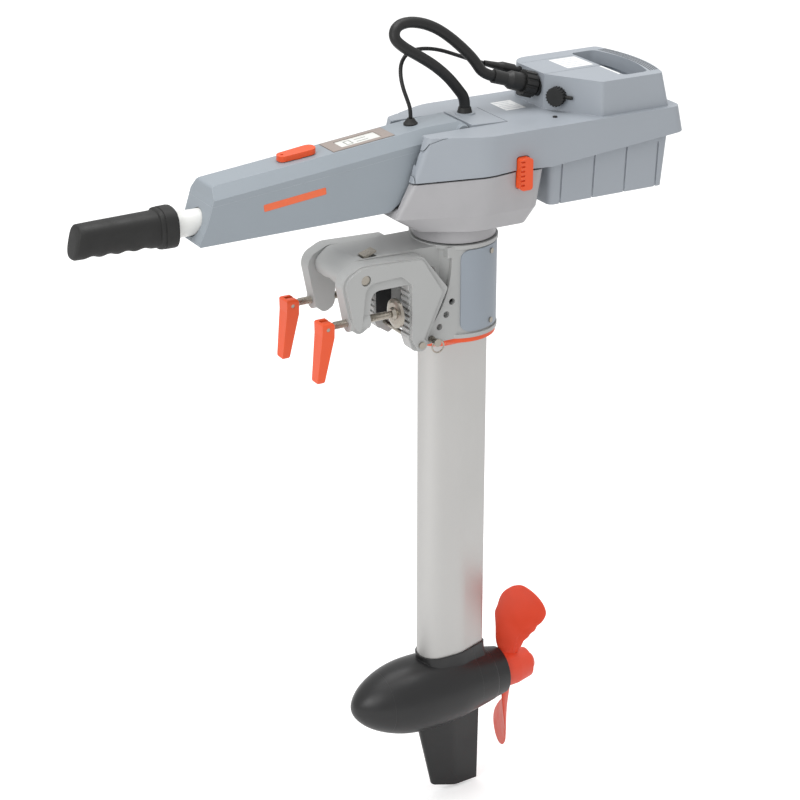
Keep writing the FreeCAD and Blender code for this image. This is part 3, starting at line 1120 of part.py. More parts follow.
# ---------------------------------------------------------------- motor and gearbox
def make_stator():
    """Wound stator: a ring with slots and coils."""
    ring = sleeve(STATOR_R - 0.2, 34.0, (STATOR_FRONT_X, 0, PROP_AXIS_Z), (STATOR_REAR_X, 0, PROP_AXIS_Z))
    parts = [ring]
    count = 12
    for i in range(count):
        angle = 360.0 / count * i
        tooth = box(STATOR_FRONT_X, STATOR_REAR_X, -4.0, 4.0, STATOR_BORE_R, 35.0)
        coil = box(STATOR_FRONT_X - 4.0, STATOR_REAR_X + 4.0, -6.0, 6.0, STATOR_BORE_R + 3.0, 33.0)
        for piece in (tooth, coil):
            piece.rotate(Vec(0, 0, 0), Vec(1, 0, 0), angle)
            piece.translate(Vec(0, 0, PROP_AXIS_Z))
            parts.append(piece)
    return joined(parts)


def involute_point(base, angle_in):
    """Point of an involute of a circle."""
    return Vec(0, base * (math.cos(angle_in) + angle_in * math.sin(angle_in)),
               base * (math.sin(angle_in) - angle_in * math.cos(angle_in)))


def gear_face(teeth, x, start_deg, addendum, dedendum, thinning):
    """Face of an involute gear in the Y-Z plane, a tooth centred on start_deg."""
    pitch = 0.5 * GEAR_MODULE * teeth
    base = pitch * math.cos(math.radians(PRESSURE_DEG))
    root = pitch - dedendum
    tip = pitch + addendum
    start = max(base, root)
    pressure = math.radians(PRESSURE_DEG)
    half_tooth = 0.5 * math.pi / teeth - 0.5 * thinning / pitch + math.tan(pressure) - pressure
    radii = [start + (tip - start) * step / 4.0 for step in range(5)]
    edges = []
    last = None
    first = None
    for i in range(teeth):
        centre = math.radians(start_deg) + 2.0 * math.pi * i / teeth
        flanks = []
        for side in (-1, 1):
            points = []
            for radius in radii:
                roll = math.sqrt(max((radius / base) ** 2 - 1.0, 0.0))
                turn = roll - math.atan(roll)
                angle = centre + side * (half_tooth - turn)
                points.append(Vec(x, radius * math.cos(angle), radius * math.sin(angle)))
            if root < base:
                angle = centre + side * half_tooth
                points.insert(0, Vec(x, root * math.cos(angle), root * math.sin(angle)))
            flanks.append(points)
        rising = flanks[0]
        falling = flanks[1][::-1]
        if last is not None:
            edges.append(Part.LineSegment(last, rising[0]).toShape())
        else:
            first = rising[0]
        outline = rising + falling
        for a, b in zip(outline, outline[1:]):
            edges.append(Part.LineSegment(a, b).toShape())
        last = falling[-1]
    edges.append(Part.LineSegment(last, first).toShape())
    return Part.Face(Part.Wire(edges))


def gear_solid(teeth, x0, x1, start_deg, grow):
    """Gear on the propeller axis; grow makes the cutter of an internal gear."""
    addendum = 0.85 * GEAR_MODULE + grow
    dedendum = 1.15 * GEAR_MODULE - grow
    thinning = BACKLASH if grow == 0.0 else -BACKLASH
    solid = gear_face(teeth, x0, start_deg, addendum, dedendum, thinning).extrude(Vec(x1 - x0, 0, 0))
    solid.translate(Vec(0, 0, PROP_AXIS_Z))
    return solid


PLANET_OFFSET = 0.5 * GEAR_MODULE * (SUN_TEETH + PLANET_TEETH)


def planet_centre(index):
    """Centre of a planet gear; the first one sits straight above the sun."""
    angle = math.radians(90.0 + 120.0 * index)
    return Vec(0, PLANET_OFFSET * math.cos(angle), PROP_AXIS_Z + PLANET_OFFSET * math.sin(angle))


def make_ring_gear():
    """Fixed internal gear of the planetary reduction."""
    outer = rod(38.3, (GEAR_FRONT_X + 19.5, 0, PROP_AXIS_Z), (GEAR_FRONT_X + 19.5 + GEAR_WIDTH, 0, PROP_AXIS_Z))
    cutter = gear_solid(RING_TEETH, GEAR_FRONT_X + 18.0, GEAR_FRONT_X + 21.0 + GEAR_WIDTH, 90.0, 0.3 * GEAR_MODULE)
    return outer.cut(cutter)


def make_planet_gear(index):
    """Planet gear that runs on its carrier pin."""
    x0 = GEAR_FRONT_X + 20.0
    x1 = x0 + GEAR_WIDTH - 1.0
    gear = gear_face(PLANET_TEETH, x0, 90.0 + 120.0 * index, 0.85 * GEAR_MODULE, 1.15 * GEAR_MODULE, BACKLASH)
    solid = gear.extrude(Vec(x1 - x0, 0, 0))
    solid.translate(planet_centre(index))
    place = planet_centre(index)
    return solid.cut(rod(PLANET_PIN_R + FIT, (x0 - 1.0, place.y, place.z), (x1 + 1.0, place.y, place.z)))


def make_rotor():
    """Magnet rotor with its shaft and the sun gear cut on the end."""
    magnet_r = STATOR_BORE_R - AIR_GAP
    drum = rod(magnet_r, (STATOR_FRONT_X + 1.0, 0, PROP_AXIS_Z), (STATOR_REAR_X - 1.0, 0, PROP_AXIS_Z))
    shaft = rod(5.5, (STATOR_FRONT_X - 6.0, 0, PROP_AXIS_Z), (GEAR_FRONT_X + 20.0, 0, PROP_AXIS_Z))
    sun = gear_solid(SUN_TEETH, GEAR_FRONT_X + 19.0, GEAR_FRONT_X + 20.0 + GEAR_WIDTH - 2.0,
                     90.0 + 180.0 / SUN_TEETH, 0.0)
    return joined([drum, shaft, sun])


def make_planet_carrier():
    """Carrier plate with the planet pins and the propeller shaft."""
    x0 = GEAR_FRONT_X + 20.0 + GEAR_WIDTH
    plate = rod(27.0, (x0, 0, PROP_AXIS_Z), (x0 + 6.0, 0, PROP_AXIS_Z))
    shaft = rod(PROP_SHAFT_R, (x0, 0, PROP_AXIS_Z), (HUB_FRONT_X + HUB_LENGTH - 4.0, 0, PROP_AXIS_Z))
    pins = []
    for i in range(3):
        place = planet_centre(i)
        pins.append(rod(PLANET_PIN_R, (x0 - GEAR_WIDTH + 0.5, place.y, place.z), (x0 + 3.0, place.y, place.z)))
    return joined([plate, shaft] + pins)


def make_motor_controller():
    """Round control board in the nose."""
    disc = rod(32.0, (NOSE_SPLIT_X - 3.0, 0, PROP_AXIS_Z), (NOSE_SPLIT_X - 1.4, 0, PROP_AXIS_Z))
    chips = [box(NOSE_SPLIT_X - 11.0, NOSE_SPLIT_X - 2.5, y, y + 12.0, PROP_AXIS_Z - 14.0, PROP_AXIS_Z + 14.0)
             for y in (-21.0, -6.0, 9.0)]
    return joined([disc] + chips)


# ---------------------------------------------------------------- propeller
def blade_section(radius, chord, thick, sweep):
    """Oval section of a blade on a plane square to its radius, turned to the blade's pitch."""
    pitch = math.atan2(BLADE_PITCH, 2.0 * math.pi * radius)
    wire = Part.Wire(Part.Ellipse(Vec(sweep, 0, 0), 0.5 * chord, 0.5 * thick).toShape())
    wire.rotate(Vec(0, 0, 0), Vec(0, 0, 1), -90.0 + math.degrees(pitch))
    wire.translate(Vec(0, 0, radius))
    return wire


# radius, chord, thickness and sweep towards the trailing edge
BLADE_STATIONS = [(14.0, 22.0, 9.0, -10.5), (28.0, 29.0, 8.4, -11.5), (47.0, 41.0, 7.4, -13.5), (66.0, 55.0, 6.4, -13.0),
                  (83.0, 65.5, 5.6, -11.0), (98.0, 71.0, 4.9, -8.0), (110.0, BLADE_CHORD, 4.3, -4.5),
                  (121.0, 69.0, 3.7, -0.5), (130.0, 59.5, 3.2, 1.5), (136.5, 46.0, 2.8, 2.0),
                  (140.5, 31.0, 2.4, 1.0), (BLADE_TIP_R, 17.0, 2.0, 0.0)]


def make_blade():
    """One blade, pointing up."""
    return Part.makeLoft([blade_section(*station) for station in BLADE_STATIONS], True, False)


def make_propeller():
    """Two-bladed propeller with a tapered hub."""
    hub = turned_along_x([(HUB_FRONT_X, HUB_FRONT_R - 1.0), (HUB_FRONT_X + 1.5, HUB_FRONT_R),
                          (HUB_FRONT_X + 0.5 * HUB_LENGTH, HUB_FRONT_R - 1.0), (HUB_FRONT_X + HUB_LENGTH, HUB_REAR_R)],
                         0, PROP_AXIS_Z)
    pieces = [hub]
    for turn in (0.0, 180.0):
        blade = make_blade()
        blade.rotate(Vec(0, 0, 0), Vec(1, 0, 0), BLADE_LEAN_DEG + turn)
        blade.translate(Vec(BLADE_X, 0, PROP_AXIS_Z))
        pieces.append(blade)
    whole = joined(pieces)
    return whole.cut(rod(PROP_SHAFT_R, (HUB_FRONT_X - 1.0, 0, PROP_AXIS_Z),
                         (HUB_FRONT_X + HUB_LENGTH + 1.0, 0, PROP_AXIS_Z)))


def make_propeller_nut():
    """Domed nut that holds the propeller."""
    x0 = HUB_FRONT_X + HUB_LENGTH
    dome = turned_along_x([(x0, 15.0), (x0 + 4.0, 14.5), (x0 + 8.0, 11.0), (x0 + 10.5, 5.0)], 0, PROP_AXIS_Z)
    return dome.cut(rod(PROP_SHAFT_R, (x0 - 5.0, 0, PROP_AXIS_Z), (x0 + 0.5, 0, PROP_AXIS_Z)))


# ---------------------------------------------------------------- cables
def cord_tube(route, diameter, name):
    """Tube along straight runs joined by tangent arcs as large as the runs allow."""
    points = [Vec(*p) for p in route]
    runs = [(b - a).Length for a, b in zip(points, points[1:])]
    edges = []
    last = points[0]
    radii = []
    for i in range(1, len(points) - 1):
        back = points[i - 1] - points[i]
        ahead = points[i + 1] - points[i]
        turn = math.pi - back.getAngle(ahead)
        radius = 0.45 * min(runs[i - 1], runs[i]) / math.tan(0.5 * turn)
        radii.append(radius)
        start, middle, end = corner_arc(points[i - 1], points[i], points[i + 1], radius)
        edges.append(Part.LineSegment(last, start).toShape())
        edges.append(Part.Arc(start, middle, end).toShape())
        last = end
    edges.append(Part.LineSegment(last, points[-1]).toShape())
    path = Part.Wire(edges)
    ring = Part.Wire(Part.makeCircle(0.5 * diameter, points[0], points[1] - points[0]))
    tube = path.makePipeShell([ring], True, False)
    expected = math.pi * 0.25 * diameter ** 2 * path.Length
    print(f"{name}: length {path.Length:.1f} mm, radii {[round(r, 1) for r in radii]}, "
          f"volume ratio {tube.Volume / expected:.4f}")
    return tube


def plug_body(tip, length, radius, end_radius):
    """Moulded plug body from its cable end to its nose."""
    profile_axis = PLUG_AXIS.normalize()
    stations = [(0.0, end_radius), (0.45 * length, 0.72 * radius), (0.6 * length, radius), (length, radius)]
    pieces = []
    for (d0, r0), (d1, r1) in zip(stations, stations[1:]):
        a = tip + profile_axis * d0
        pieces.append(Part.makeCone(r0, r1 + 1e-4, d1 - d0, a, profile_axis))
    return joined(pieces)


def power_plug_start():
    """Cable end of the power plug."""
    return Vec(*POWER_ROUTE[-1])


def make_power_plug():
    """Straight power plug pushed into the battery's power socket."""
    body = plug_body(power_plug_start(), POWER_PLUG_LENGTH, 12.0, 9.0)
    nose_start = power_plug_start() + PLUG_AXIS * POWER_PLUG_LENGTH
    socket = socket_places()[0][0] - PLUG_AXIS * 1.0
    nose = rod(10.0, tuple(nose_start - PLUG_AXIS), tuple(socket))
    return joined([body, nose])


def make_power_plug_ring():
    """Fluted coupling ring that turns on the power plug's nose."""
    start = power_plug_start() + PLUG_AXIS * (POWER_PLUG_LENGTH + GAP)
    end = start + PLUG_AXIS * POWER_RING_LENGTH
    ring = sleeve(POWER_RING_R, 10.0 + FIT, tuple(start), tuple(end))
    across = PLUG_AXIS.cross(Vec(0, 0, 1)).normalize()
    upward = across.cross(PLUG_AXIS).normalize()
    for i in range(12):
        angle = math.radians(30.0 * i)
        offset = across * (POWER_RING_R * math.cos(angle)) + upward * (POWER_RING_R * math.sin(angle))
        ring = ring.cut(rod(2.0, tuple(start + offset - PLUG_AXIS), tuple(end + offset + PLUG_AXIS)))
    return ring


def make_data_plug():
    """Small round plug of the data cable with its knurled sleeve."""
    start = Vec(*DATA_ROUTE[-1])
    body = plug_body(start, DATA_PLUG_LENGTH, 7.0, 3.6)
    nose = rod(5.0, tuple(start + PLUG_AXIS * (DATA_PLUG_LENGTH - 1.0)), tuple(socket_places()[1][0] - PLUG_AXIS))
    return joined([body, nose])


# ---------------------------------------------------------------- the whole motor
def main():
    """Write every node."""
    os.makedirs("parts", exist_ok=True)
    save("clamp_arm_right", make_clamp_arm())
    save("clamp_arm_left", mirror_y(make_clamp_arm()))
    save("tilt_pivot_bolt", make_tilt_pivot_bolt())
    save("lower_tie_rod", make_lower_tie_rod())
    screw = Part.makeCompound([make_clamp_screw(), make_toggle_pin()])
    for side, turn in (("right", lambda s: s), ("left", mirror_y)):
        save(f"clamp_screw_{side}", turn(screw))
        save(f"pressure_pad_{side}", turn(make_pressure_pad()))
        save(f"toggle_handle_{side}", turn(make_toggle_handle()))
    save("swivel_yoke", make_swivel_yoke())
    save("swivel_rear_cover", make_swivel_rear_cover())
    save("cover_screws", make_cover_screws())
    save("tilt_catch", make_tilt_catch())
    save("trim_pin", make_trim_pin())
    save("trim_pin_ring", make_trim_pin_ring())
    save("shaft_tube", make_shaft_tube())
    save("shaft_bushes", make_shaft_bushes())
    save("lower_collar", make_lower_collar())
    save("shaft_harness", make_shaft_harness())
    save("head_lower_shell", make_head_lower_shell())
    save("head_deck", make_head_deck())
    save("power_gland", make_power_gland())
    save("battery_locking_pin", make_battery_locking_pin())
    save("battery_top_case", make_battery_top_case())
    save("battery_bottom_case", make_battery_bottom_case())
    save("battery_cells", make_battery_cells())
    save("battery_sockets", make_battery_sockets())
    save("charge_cap", make_charge_cap())
    save("power_button", make_power_button())
    save("tiller_lower_shell", make_tiller_lower_shell())
    save("tiller_top_cover", make_tiller_top_cover())
    save("display_bezel", make_display_bezel())
    save("display_glass", make_display_glass())
    save("stop_key", make_stop_key())
    save("data_gland", make_data_gland())
    save("tiller_hinge_pin", make_tiller_hinge_pin())
    save("throttle_sensor", make_throttle_sensor())
    save("throttle_tube", make_throttle_tube())
    save("throttle_grip", make_throttle_grip())
    save("pylon_housing", make_pylon_housing())
    save("pylon_nose", make_pylon_nose())
    save("pylon_tail_cover", make_pylon_tail_cover())
    save("output_bearing", make_output_bearing())
    save("fin", make_fin())
    save("stator", make_stator())
    save("ring_gear", make_ring_gear())
    for i in range(3):
        save(f"planet_gear_{i + 1}", make_planet_gear(i))
    save("rotor", make_rotor())
    save("planet_carrier", make_planet_carrier())
    save("motor_controller", make_motor_controller())
    save("propeller", make_propeller())
    save("propeller_nut", make_propeller_nut())
    save("power_cable", cord_tube(POWER_ROUTE, POWER_CABLE_D, "power cable"))
    save("power_plug", make_power_plug())
    save("power_plug_ring", make_power_plug_ring())
    save("data_cable", cord_tube(DATA_ROUTE, DATA_CABLE_D, "data cable"))
    save("data_plug", make_data_plug())


main()
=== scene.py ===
"""Looks of an electric outboard motor that clamps to a boat's transom.

Each sub-assembly of the motor is a class. Its build method makes the pieces that the frame doesn't show, such as the
grip, the cables and the labels, and its dress method gives the frame's own nodes their finishes. Sizes are in metres.
"""
import logging
import math
from dataclasses import dataclass
from enum import Enum

import bmesh
import bpy
from mathutils import Matrix, Vector


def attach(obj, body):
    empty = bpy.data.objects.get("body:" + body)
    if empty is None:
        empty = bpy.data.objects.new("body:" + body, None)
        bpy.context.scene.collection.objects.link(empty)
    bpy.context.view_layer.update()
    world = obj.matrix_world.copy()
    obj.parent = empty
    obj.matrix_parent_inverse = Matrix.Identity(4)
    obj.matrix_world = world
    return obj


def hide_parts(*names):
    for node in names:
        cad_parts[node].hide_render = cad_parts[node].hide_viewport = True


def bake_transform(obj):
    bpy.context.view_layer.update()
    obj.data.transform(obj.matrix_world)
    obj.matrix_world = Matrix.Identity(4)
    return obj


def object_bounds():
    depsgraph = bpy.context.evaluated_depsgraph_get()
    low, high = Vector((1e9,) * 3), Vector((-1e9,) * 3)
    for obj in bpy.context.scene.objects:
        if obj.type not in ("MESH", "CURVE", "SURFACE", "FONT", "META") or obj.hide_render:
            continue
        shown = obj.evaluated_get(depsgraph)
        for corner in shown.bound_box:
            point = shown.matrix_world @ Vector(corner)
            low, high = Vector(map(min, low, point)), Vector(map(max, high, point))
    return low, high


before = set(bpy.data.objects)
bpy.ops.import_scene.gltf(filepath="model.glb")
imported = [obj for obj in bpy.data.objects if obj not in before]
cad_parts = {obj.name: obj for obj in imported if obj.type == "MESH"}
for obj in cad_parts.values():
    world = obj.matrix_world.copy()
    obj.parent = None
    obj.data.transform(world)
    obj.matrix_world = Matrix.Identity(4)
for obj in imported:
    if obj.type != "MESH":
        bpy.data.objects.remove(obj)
cad_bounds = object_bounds()

MM = 0.001
log = logging.getLogger("outboard")


# ---------------------------------------------------------------- colour and nodes
def linear(hex_colour: str) -> tuple[float, float, float, float]:
    """Turns an sRGB hex colour into the linear colour that shaders take.

    Args:
        hex_colour: The colour as "#RRGGBB".

    Returns:
        Linear red, green, blue and an alpha of one.
    """
    channels = [int(hex_colour[i:i + 2], 16) / 255 for i in (1, 3, 5)]
    red, green, blue = (c / 12.92 if c <= 0.04045 else ((c + 0.055) / 1.055) ** 2.4 for c in channels)
    return red, green, blue, 1.0


def add_node(tree: bpy.types.NodeTree, kind: str, inputs: dict | None = None, **settings) -> bpy.types.Node:
    """Adds one shader node with its settings, values and links.

    Args:
        tree: The material's node tree.
        kind: The node's type name.
        inputs: Socket name or index to a value, or to the output socket that feeds it.
        settings: Properties of the node itself.

    Returns:
        The new node.
    """
    node = tree.nodes.new(kind)
    for name, value in settings.items():
        setattr(node, name, value)
    for socket, value in (inputs or {}).items():
        if isinstance(value, bpy.types.NodeSocket):
            tree.links.new(value, node.inputs[socket])
        else:
            node.inputs[socket].default_value = value
    return node


class Grain(Enum):
    """How a surface's fine pattern lies."""

    MOULDED = "fine even pits of a spark-eroded mould"
    PEEL = "soft lumps of a baked powder coat"
    DRAWN = "long streaks along the shaft, left by the extrusion die"
    TURNED = "rings round the screw's axis, left by the lathe"
    DIMPLED = "small round dimples of a grip surface"


GRAIN_STRETCH = {
    Grain.MOULDED: (1.0, 1.0, 1.0),
    Grain.PEEL: (1.0, 1.0, 1.0),
    Grain.DRAWN: (1.0, 1.0, 0.02),
    Grain.TURNED: (1.0, 0.06, 0.06),
    Grain.DIMPLED: (1.0, 1.0, 1.0),
}


@dataclass(frozen=True)
class Finish:
    """One real material and the way its surface was made."""

    name: str
    colour: str
    roughness: float
    metallic: float = 0.0
    ior: float = 1.5
    grain: Grain = Grain.MOULDED
    grain_mm: float = 1.2
    grain_depth_mm: float = 0.03
    mottle_mm: float = 70.0
    mottle: float = 0.04
    roughness_spread: float = 0.07
    edge_mm: float = 0.7
    wear_colour: str = ""
    wear: float = 0.0
    coat: float = 0.0

    def material(self) -> bpy.types.Material:
        """Returns the finish's material, made the first time it is asked for."""
        found = bpy.data.materials.get(self.name)
        return found or self.make()

    def make(self) -> bpy.types.Material:
        """Builds the node tree: faint colour drift, fine grain in the bump, softened and slightly worn edges.

        Returns:
            The new material.
        """
        material = bpy.data.materials.new(self.name)
        material.use_nodes = True
        tree = material.node_tree
        tree.nodes.clear()
        place = add_node(tree, "ShaderNodeTexCoord").outputs["Object"]
        drift = add_node(tree, "ShaderNodeTexNoise", {"Vector": place, "Scale": 1000 / self.mottle_mm, "Detail": 3.0})
        base = linear(self.colour)
        darker = tuple(c * (1 - self.mottle) for c in base[:3]) + (1.0,)
        lighter = tuple(min(1.0, c * (1 + self.mottle)) for c in base[:3]) + (1.0,)
        shade = add_node(tree, "ShaderNodeMix", {0: drift.outputs["Fac"], 6: darker, 7: lighter}, data_type="RGBA")
        colour = shade.outputs[2]
        height = self.grain_height(tree, place)
        rounded = add_node(tree, "ShaderNodeBevel", {"Radius": self.edge_mm * MM}, samples=6)
        if self.wear:
            colour = self.worn(tree, colour, rounded.outputs["Normal"], drift.outputs["Fac"])
        bump = add_node(tree, "ShaderNodeBump", {"Strength": 1.0, "Distance": self.grain_depth_mm * MM,
                                                 "Height": height, "Normal": rounded.outputs["Normal"]})
        sheen = add_node(tree, "ShaderNodeMapRange", {
            "Value": drift.outputs["Fac"], "From Min": 0.3, "From Max": 0.7,
            "To Min": self.roughness - self.roughness_spread, "To Max": self.roughness + self.roughness_spread})
        shader = add_node(tree, "ShaderNodeBsdfPrincipled", {
            "Base Color": colour, "Roughness": sheen.outputs["Result"], "Metallic": self.metallic, "IOR": self.ior,
            "Coat Weight": self.coat, "Normal": bump.outputs["Normal"]})
        add_node(tree, "ShaderNodeOutputMaterial", {"Surface": shader.outputs["BSDF"]})
        return material

    def grain_height(self, tree: bpy.types.NodeTree, place: bpy.types.NodeSocket) -> bpy.types.NodeSocket:
        """Adds the fine pattern.

        Args:
            tree: The material's node tree.
            place: Object coordinates.

        Returns:
            The pattern's height, from 0 to 1.
        """
        stretched = add_node(tree, "ShaderNodeMapping", {"Vector": place, "Scale": GRAIN_STRETCH[self.grain]})
        scale = 1000 / self.grain_mm
        if self.grain in (Grain.PEEL, Grain.DIMPLED):
            cells = add_node(tree, "ShaderNodeTexVoronoi", {"Vector": stretched.outputs["Vector"], "Scale": scale,
                                                            "Smoothness": 0.8}, feature="SMOOTH_F1")
            return cells.outputs["Distance"]
        noise = add_node(tree, "ShaderNodeTexNoise", {"Vector": stretched.outputs["Vector"], "Scale": scale,
                                                      "Detail": 2.0})
        return noise.outputs["Fac"]

    def worn(self, tree: bpy.types.NodeTree, colour: bpy.types.NodeSocket, rounded: bpy.types.NodeSocket,
             drift: bpy.types.NodeSocket) -> bpy.types.NodeSocket:
        """Rubs the colour away along sharp edges, unevenly.

        Args:
            tree: The material's node tree.
            colour: Colour before the wear.
            rounded: Normal with softened edges.
            drift: Slow noise that makes the wear uneven.

        Returns:
            The colour with its worn edges.
        """
        true_normal = add_node(tree, "ShaderNodeNewGeometry").outputs["Normal"]
        facing = add_node(tree, "ShaderNodeVectorMath", {0: rounded, 1: true_normal}, operation="DOT_PRODUCT")
        edge = add_node(tree, "ShaderNodeMapRange", {"Value": facing.outputs["Value"], "From Min": 0.995,
                                                     "From Max": 0.88, "To Min": 0.0, "To Max": self.wear})
        patchy = add_node(tree, "ShaderNodeMath", {0: edge.outputs["Result"], 1: drift}, operation="MULTIPLY",
                          use_clamp=True)
        mix = add_node(tree, "ShaderNodeMix", {0: patchy.outputs["Value"], 6: colour, 7: linear(self.wear_colour)},
                       data_type="RGBA")
        return mix.outputs[2]


# Moulded ABS, blue-grey: a satin skin with a fine spark-eroded grain, edges polished lighter by hands. The grain is
# drawn three times as coarse as the real 0.4 mm so that it shows.
CASE_ABS = Finish("moulded_abs_blue_grey", "#9AA0A7", 0.46, ior=1.53, wear_colour="#C6CDD3", wear=0.8)
TILLER_ABS = Finish("moulded_abs_tiller", "#90989F", 0.44, ior=1.53, wear_colour="#C2CAD1", wear=0.8)
# Glass-filled nylon with silver pigment: warmer and a little glossier than the ABS, faintly cloudy from the fibres.
HEAD_NYLON = Finish("moulded_glass_filled_nylon_silver", "#A4A3A5", 0.42, ior=1.53, mottle=0.06, mottle_mm=25.0,
                    wear_colour="#C9C9C8", wear=0.6)
# Die-cast aluminium under a silver powder coat: soft orange peel, bare metal glint only on the sharpest edges.
POWDER_COAT = Finish("powder_coated_cast_aluminium", "#A9AAA9", 0.40, ior=1.5, grain=Grain.PEEL, grain_mm=2.2,
                     grain_depth_mm=0.05, wear_colour="#D2D2D0", wear=0.9, edge_mm=1.0)
# The case's blue-grey ABS on the rear cover, a blue-grey patch on the silver castings. The blue-grey is its own
# colour, and its darker tone than the case is painted shade.
SHADED_COVER_ABS = Finish("moulded_abs_cover_painted_shade", "#8E969F", 0.45, ior=1.53, wear_colour="#BEC6CD", wear=0.6)
# Extruded aluminium, etched and anodised: pale satin metal with long faint die streaks.
ANODISED = Finish("anodised_aluminium_extrusion", "#C6C5C3", 0.54, metallic=1.0, grain=Grain.DRAWN, grain_mm=1.6,
                  grain_depth_mm=0.012, mottle_mm=120.0, mottle=0.02, roughness_spread=0.04)
# Turned stainless steel: grey-brown metal with lathe rings, darker in its grease film.
STAINLESS = Finish("turned_stainless_steel", "#A9A399", 0.30, metallic=1.0, grain=Grain.TURNED, grain_mm=0.5,
                   grain_depth_mm=0.02, mottle_mm=12.0, mottle=0.10, edge_mm=0.3)
# Injection-moulded nylon, signal orange: saturated, waxy satin, edges bleached by handling.
ORANGE_NYLON = Finish("moulded_nylon_orange", "#E4501C", 0.40, ior=1.53, mottle=0.05, mottle_mm=30.0,
                      wear_colour="#F58A5C", wear=0.7)
PROPELLER_NYLON = Finish("moulded_glass_filled_nylon_orange", "#DA4224", 0.47, ior=1.53, mottle=0.06, mottle_mm=18.0,
                         wear_colour="#F0805F", wear=0.7)
# Glass-filled polyamide, black: near-black satin with a cloudy moulding flow.
POD_BLACK = Finish("moulded_polyamide_black", "#131314", 0.38, ior=1.53, mottle=0.12, mottle_mm=35.0,
                   wear_colour="#4A4A4A", wear=0.5)
# Moulded thermoplastic rubber: matt black with a dimpled skin that breaks up the light.
GRIP_RUBBER = Finish("moulded_rubber_black", "#161615", 0.60, ior=1.52, grain=Grain.DIMPLED, grain_mm=1.5,
                     grain_depth_mm=0.08, mottle=0.10, mottle_mm=20.0, wear_colour="#3A3A38", wear=0.5)
# Extruded polyurethane sheath: smooth matt black, faint scuffs.
CABLE_SHEATH = Finish("extruded_polyurethane_sheath", "#111111", 0.48, ior=1.5, grain_mm=0.8, grain_depth_mm=0.02,
                      mottle=0.15, mottle_mm=9.0)
# Moulded polyamide of the connectors: black, with lighter rubbed edges on the coupling ring.
PLUG_BLACK = Finish("moulded_polyamide_plug", "#151515", 0.46, ior=1.53, grain_mm=1.0, mottle=0.10, mottle_mm=10.0,
                    wear_colour="#454545", wear=0.5, edge_mm=0.4)
# Acetal tube, machined and polished: clean glossy white.
WHITE_ACETAL = Finish("turned_acetal_white", "#E6E6E3", 0.28, ior=1.48, grain=Grain.TURNED, grain_mm=1.0,
                      grain_depth_mm=0.008, mottle=0.02)
# Screen-printed polycarbonate film round the display: warm taupe, satin.
BEZEL_FILM = Finish("printed_polycarbonate_film", "#968A83", 0.38, ior=1.58, grain_mm=0.8, grain_depth_mm=0.01)
# Reflective liquid crystal panel under a clear glossy coat: pale, slightly green grey.
PANEL_GLASS = Finish("liquid_crystal_panel", "#E2E3DE", 0.35, ior=1.52, grain_mm=1.0, grain_depth_mm=0.0, mottle=0.01,
                     coat=1.0)
# Unlit liquid crystal segments: a faint grey trace on the pale panel.
SEGMENT_INK = Finish("liquid_crystal_segment", "#8B8D88", 0.45, ior=1.52, grain_depth_mm=0.0, mottle=0.02)
# Polyester label stock: smooth white with a laminate sheen. The same white also paints a highlight strip along the
# lit front lip of the box's opening.
LABEL_AND_HIGHLIGHT_WHITE = Finish("label_film_and_lip_highlight", "#E9EAEA", 0.30, ior=1.58, grain_mm=1.0, grain_depth_mm=0.006,
                    mottle=0.02)
# Printed label ink: quiet grey bars that read as print from a distance.
LABEL_INK = Finish("label_ink_grey", "#B4BAC0", 0.35, ior=1.5, grain_depth_mm=0.0, mottle=0.05)
# Screen-printed ink: flat orange, thinner in places so that it looks a little dusty.
MARK_INK = Finish("screen_printed_orange_ink", "#E4693F", 0.35, ior=1.5, grain_mm=0.6, grain_depth_mm=0.01,
                  mottle=0.06, mottle_mm=8.0)
# Painted shade: matt charcoal for dark sheets and strips that stand for the shadow in gaps between lighter parts.
GAP_SHADE_BLACK = Finish("painted_gap_shade", "#17181A", 0.65, ior=1.52, mottle=0.10, mottle_mm=15.0)
# Machined acetal: dark, with faint lathe rings. Hidden inside the leg.
ACETAL_BLACK = Finish("machined_acetal_black", "#242424", 0.35, ior=1.48, grain=Grain.TURNED, mottle=0.05)
# Shrink-wrapped lithium cells: green film. Hidden inside the battery.
CELL_WRAP = Finish("shrink_wrapped_cells", "#2F6B4A", 0.35, ior=1.55, mottle=0.10, mottle_mm=18.0)
# Lacquered glass-fibre board: glossy green. Hidden inside the tiller and the pod.
BOARD_GREEN = Finish("lacquered_circuit_board", "#0F5A32", 0.32, ior=1.55, mottle=0.12, mottle_mm=6.0)
# Enamelled copper wire: reddish metal. Hidden inside the pod.
WOUND_COPPER = Finish("enamelled_copper_windings", "#A35B3A", 0.35, metallic=1.0, mottle=0.2, mottle_mm=4.0)
# Ground steel: bright grey metal. Hidden inside the pod.
GEAR_STEEL = Finish("ground_gear_steel", "#9A9A98", 0.28, metallic=1.0, grain_mm=0.5, mottle=0.08, mottle_mm=9.0)


# ---------------------------------------------------------------- pieces
def dress_nodes(finish: Finish, *names: str) -> None:
    """Gives frame nodes a finish.

    Args:
        finish: The finish.
        names: The nodes' names.
    """
    for name in names:
        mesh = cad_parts[name].data
        mesh.materials.clear()
        mesh.materials.append(finish.material())
        log.info("%s: %s", name, finish.name)


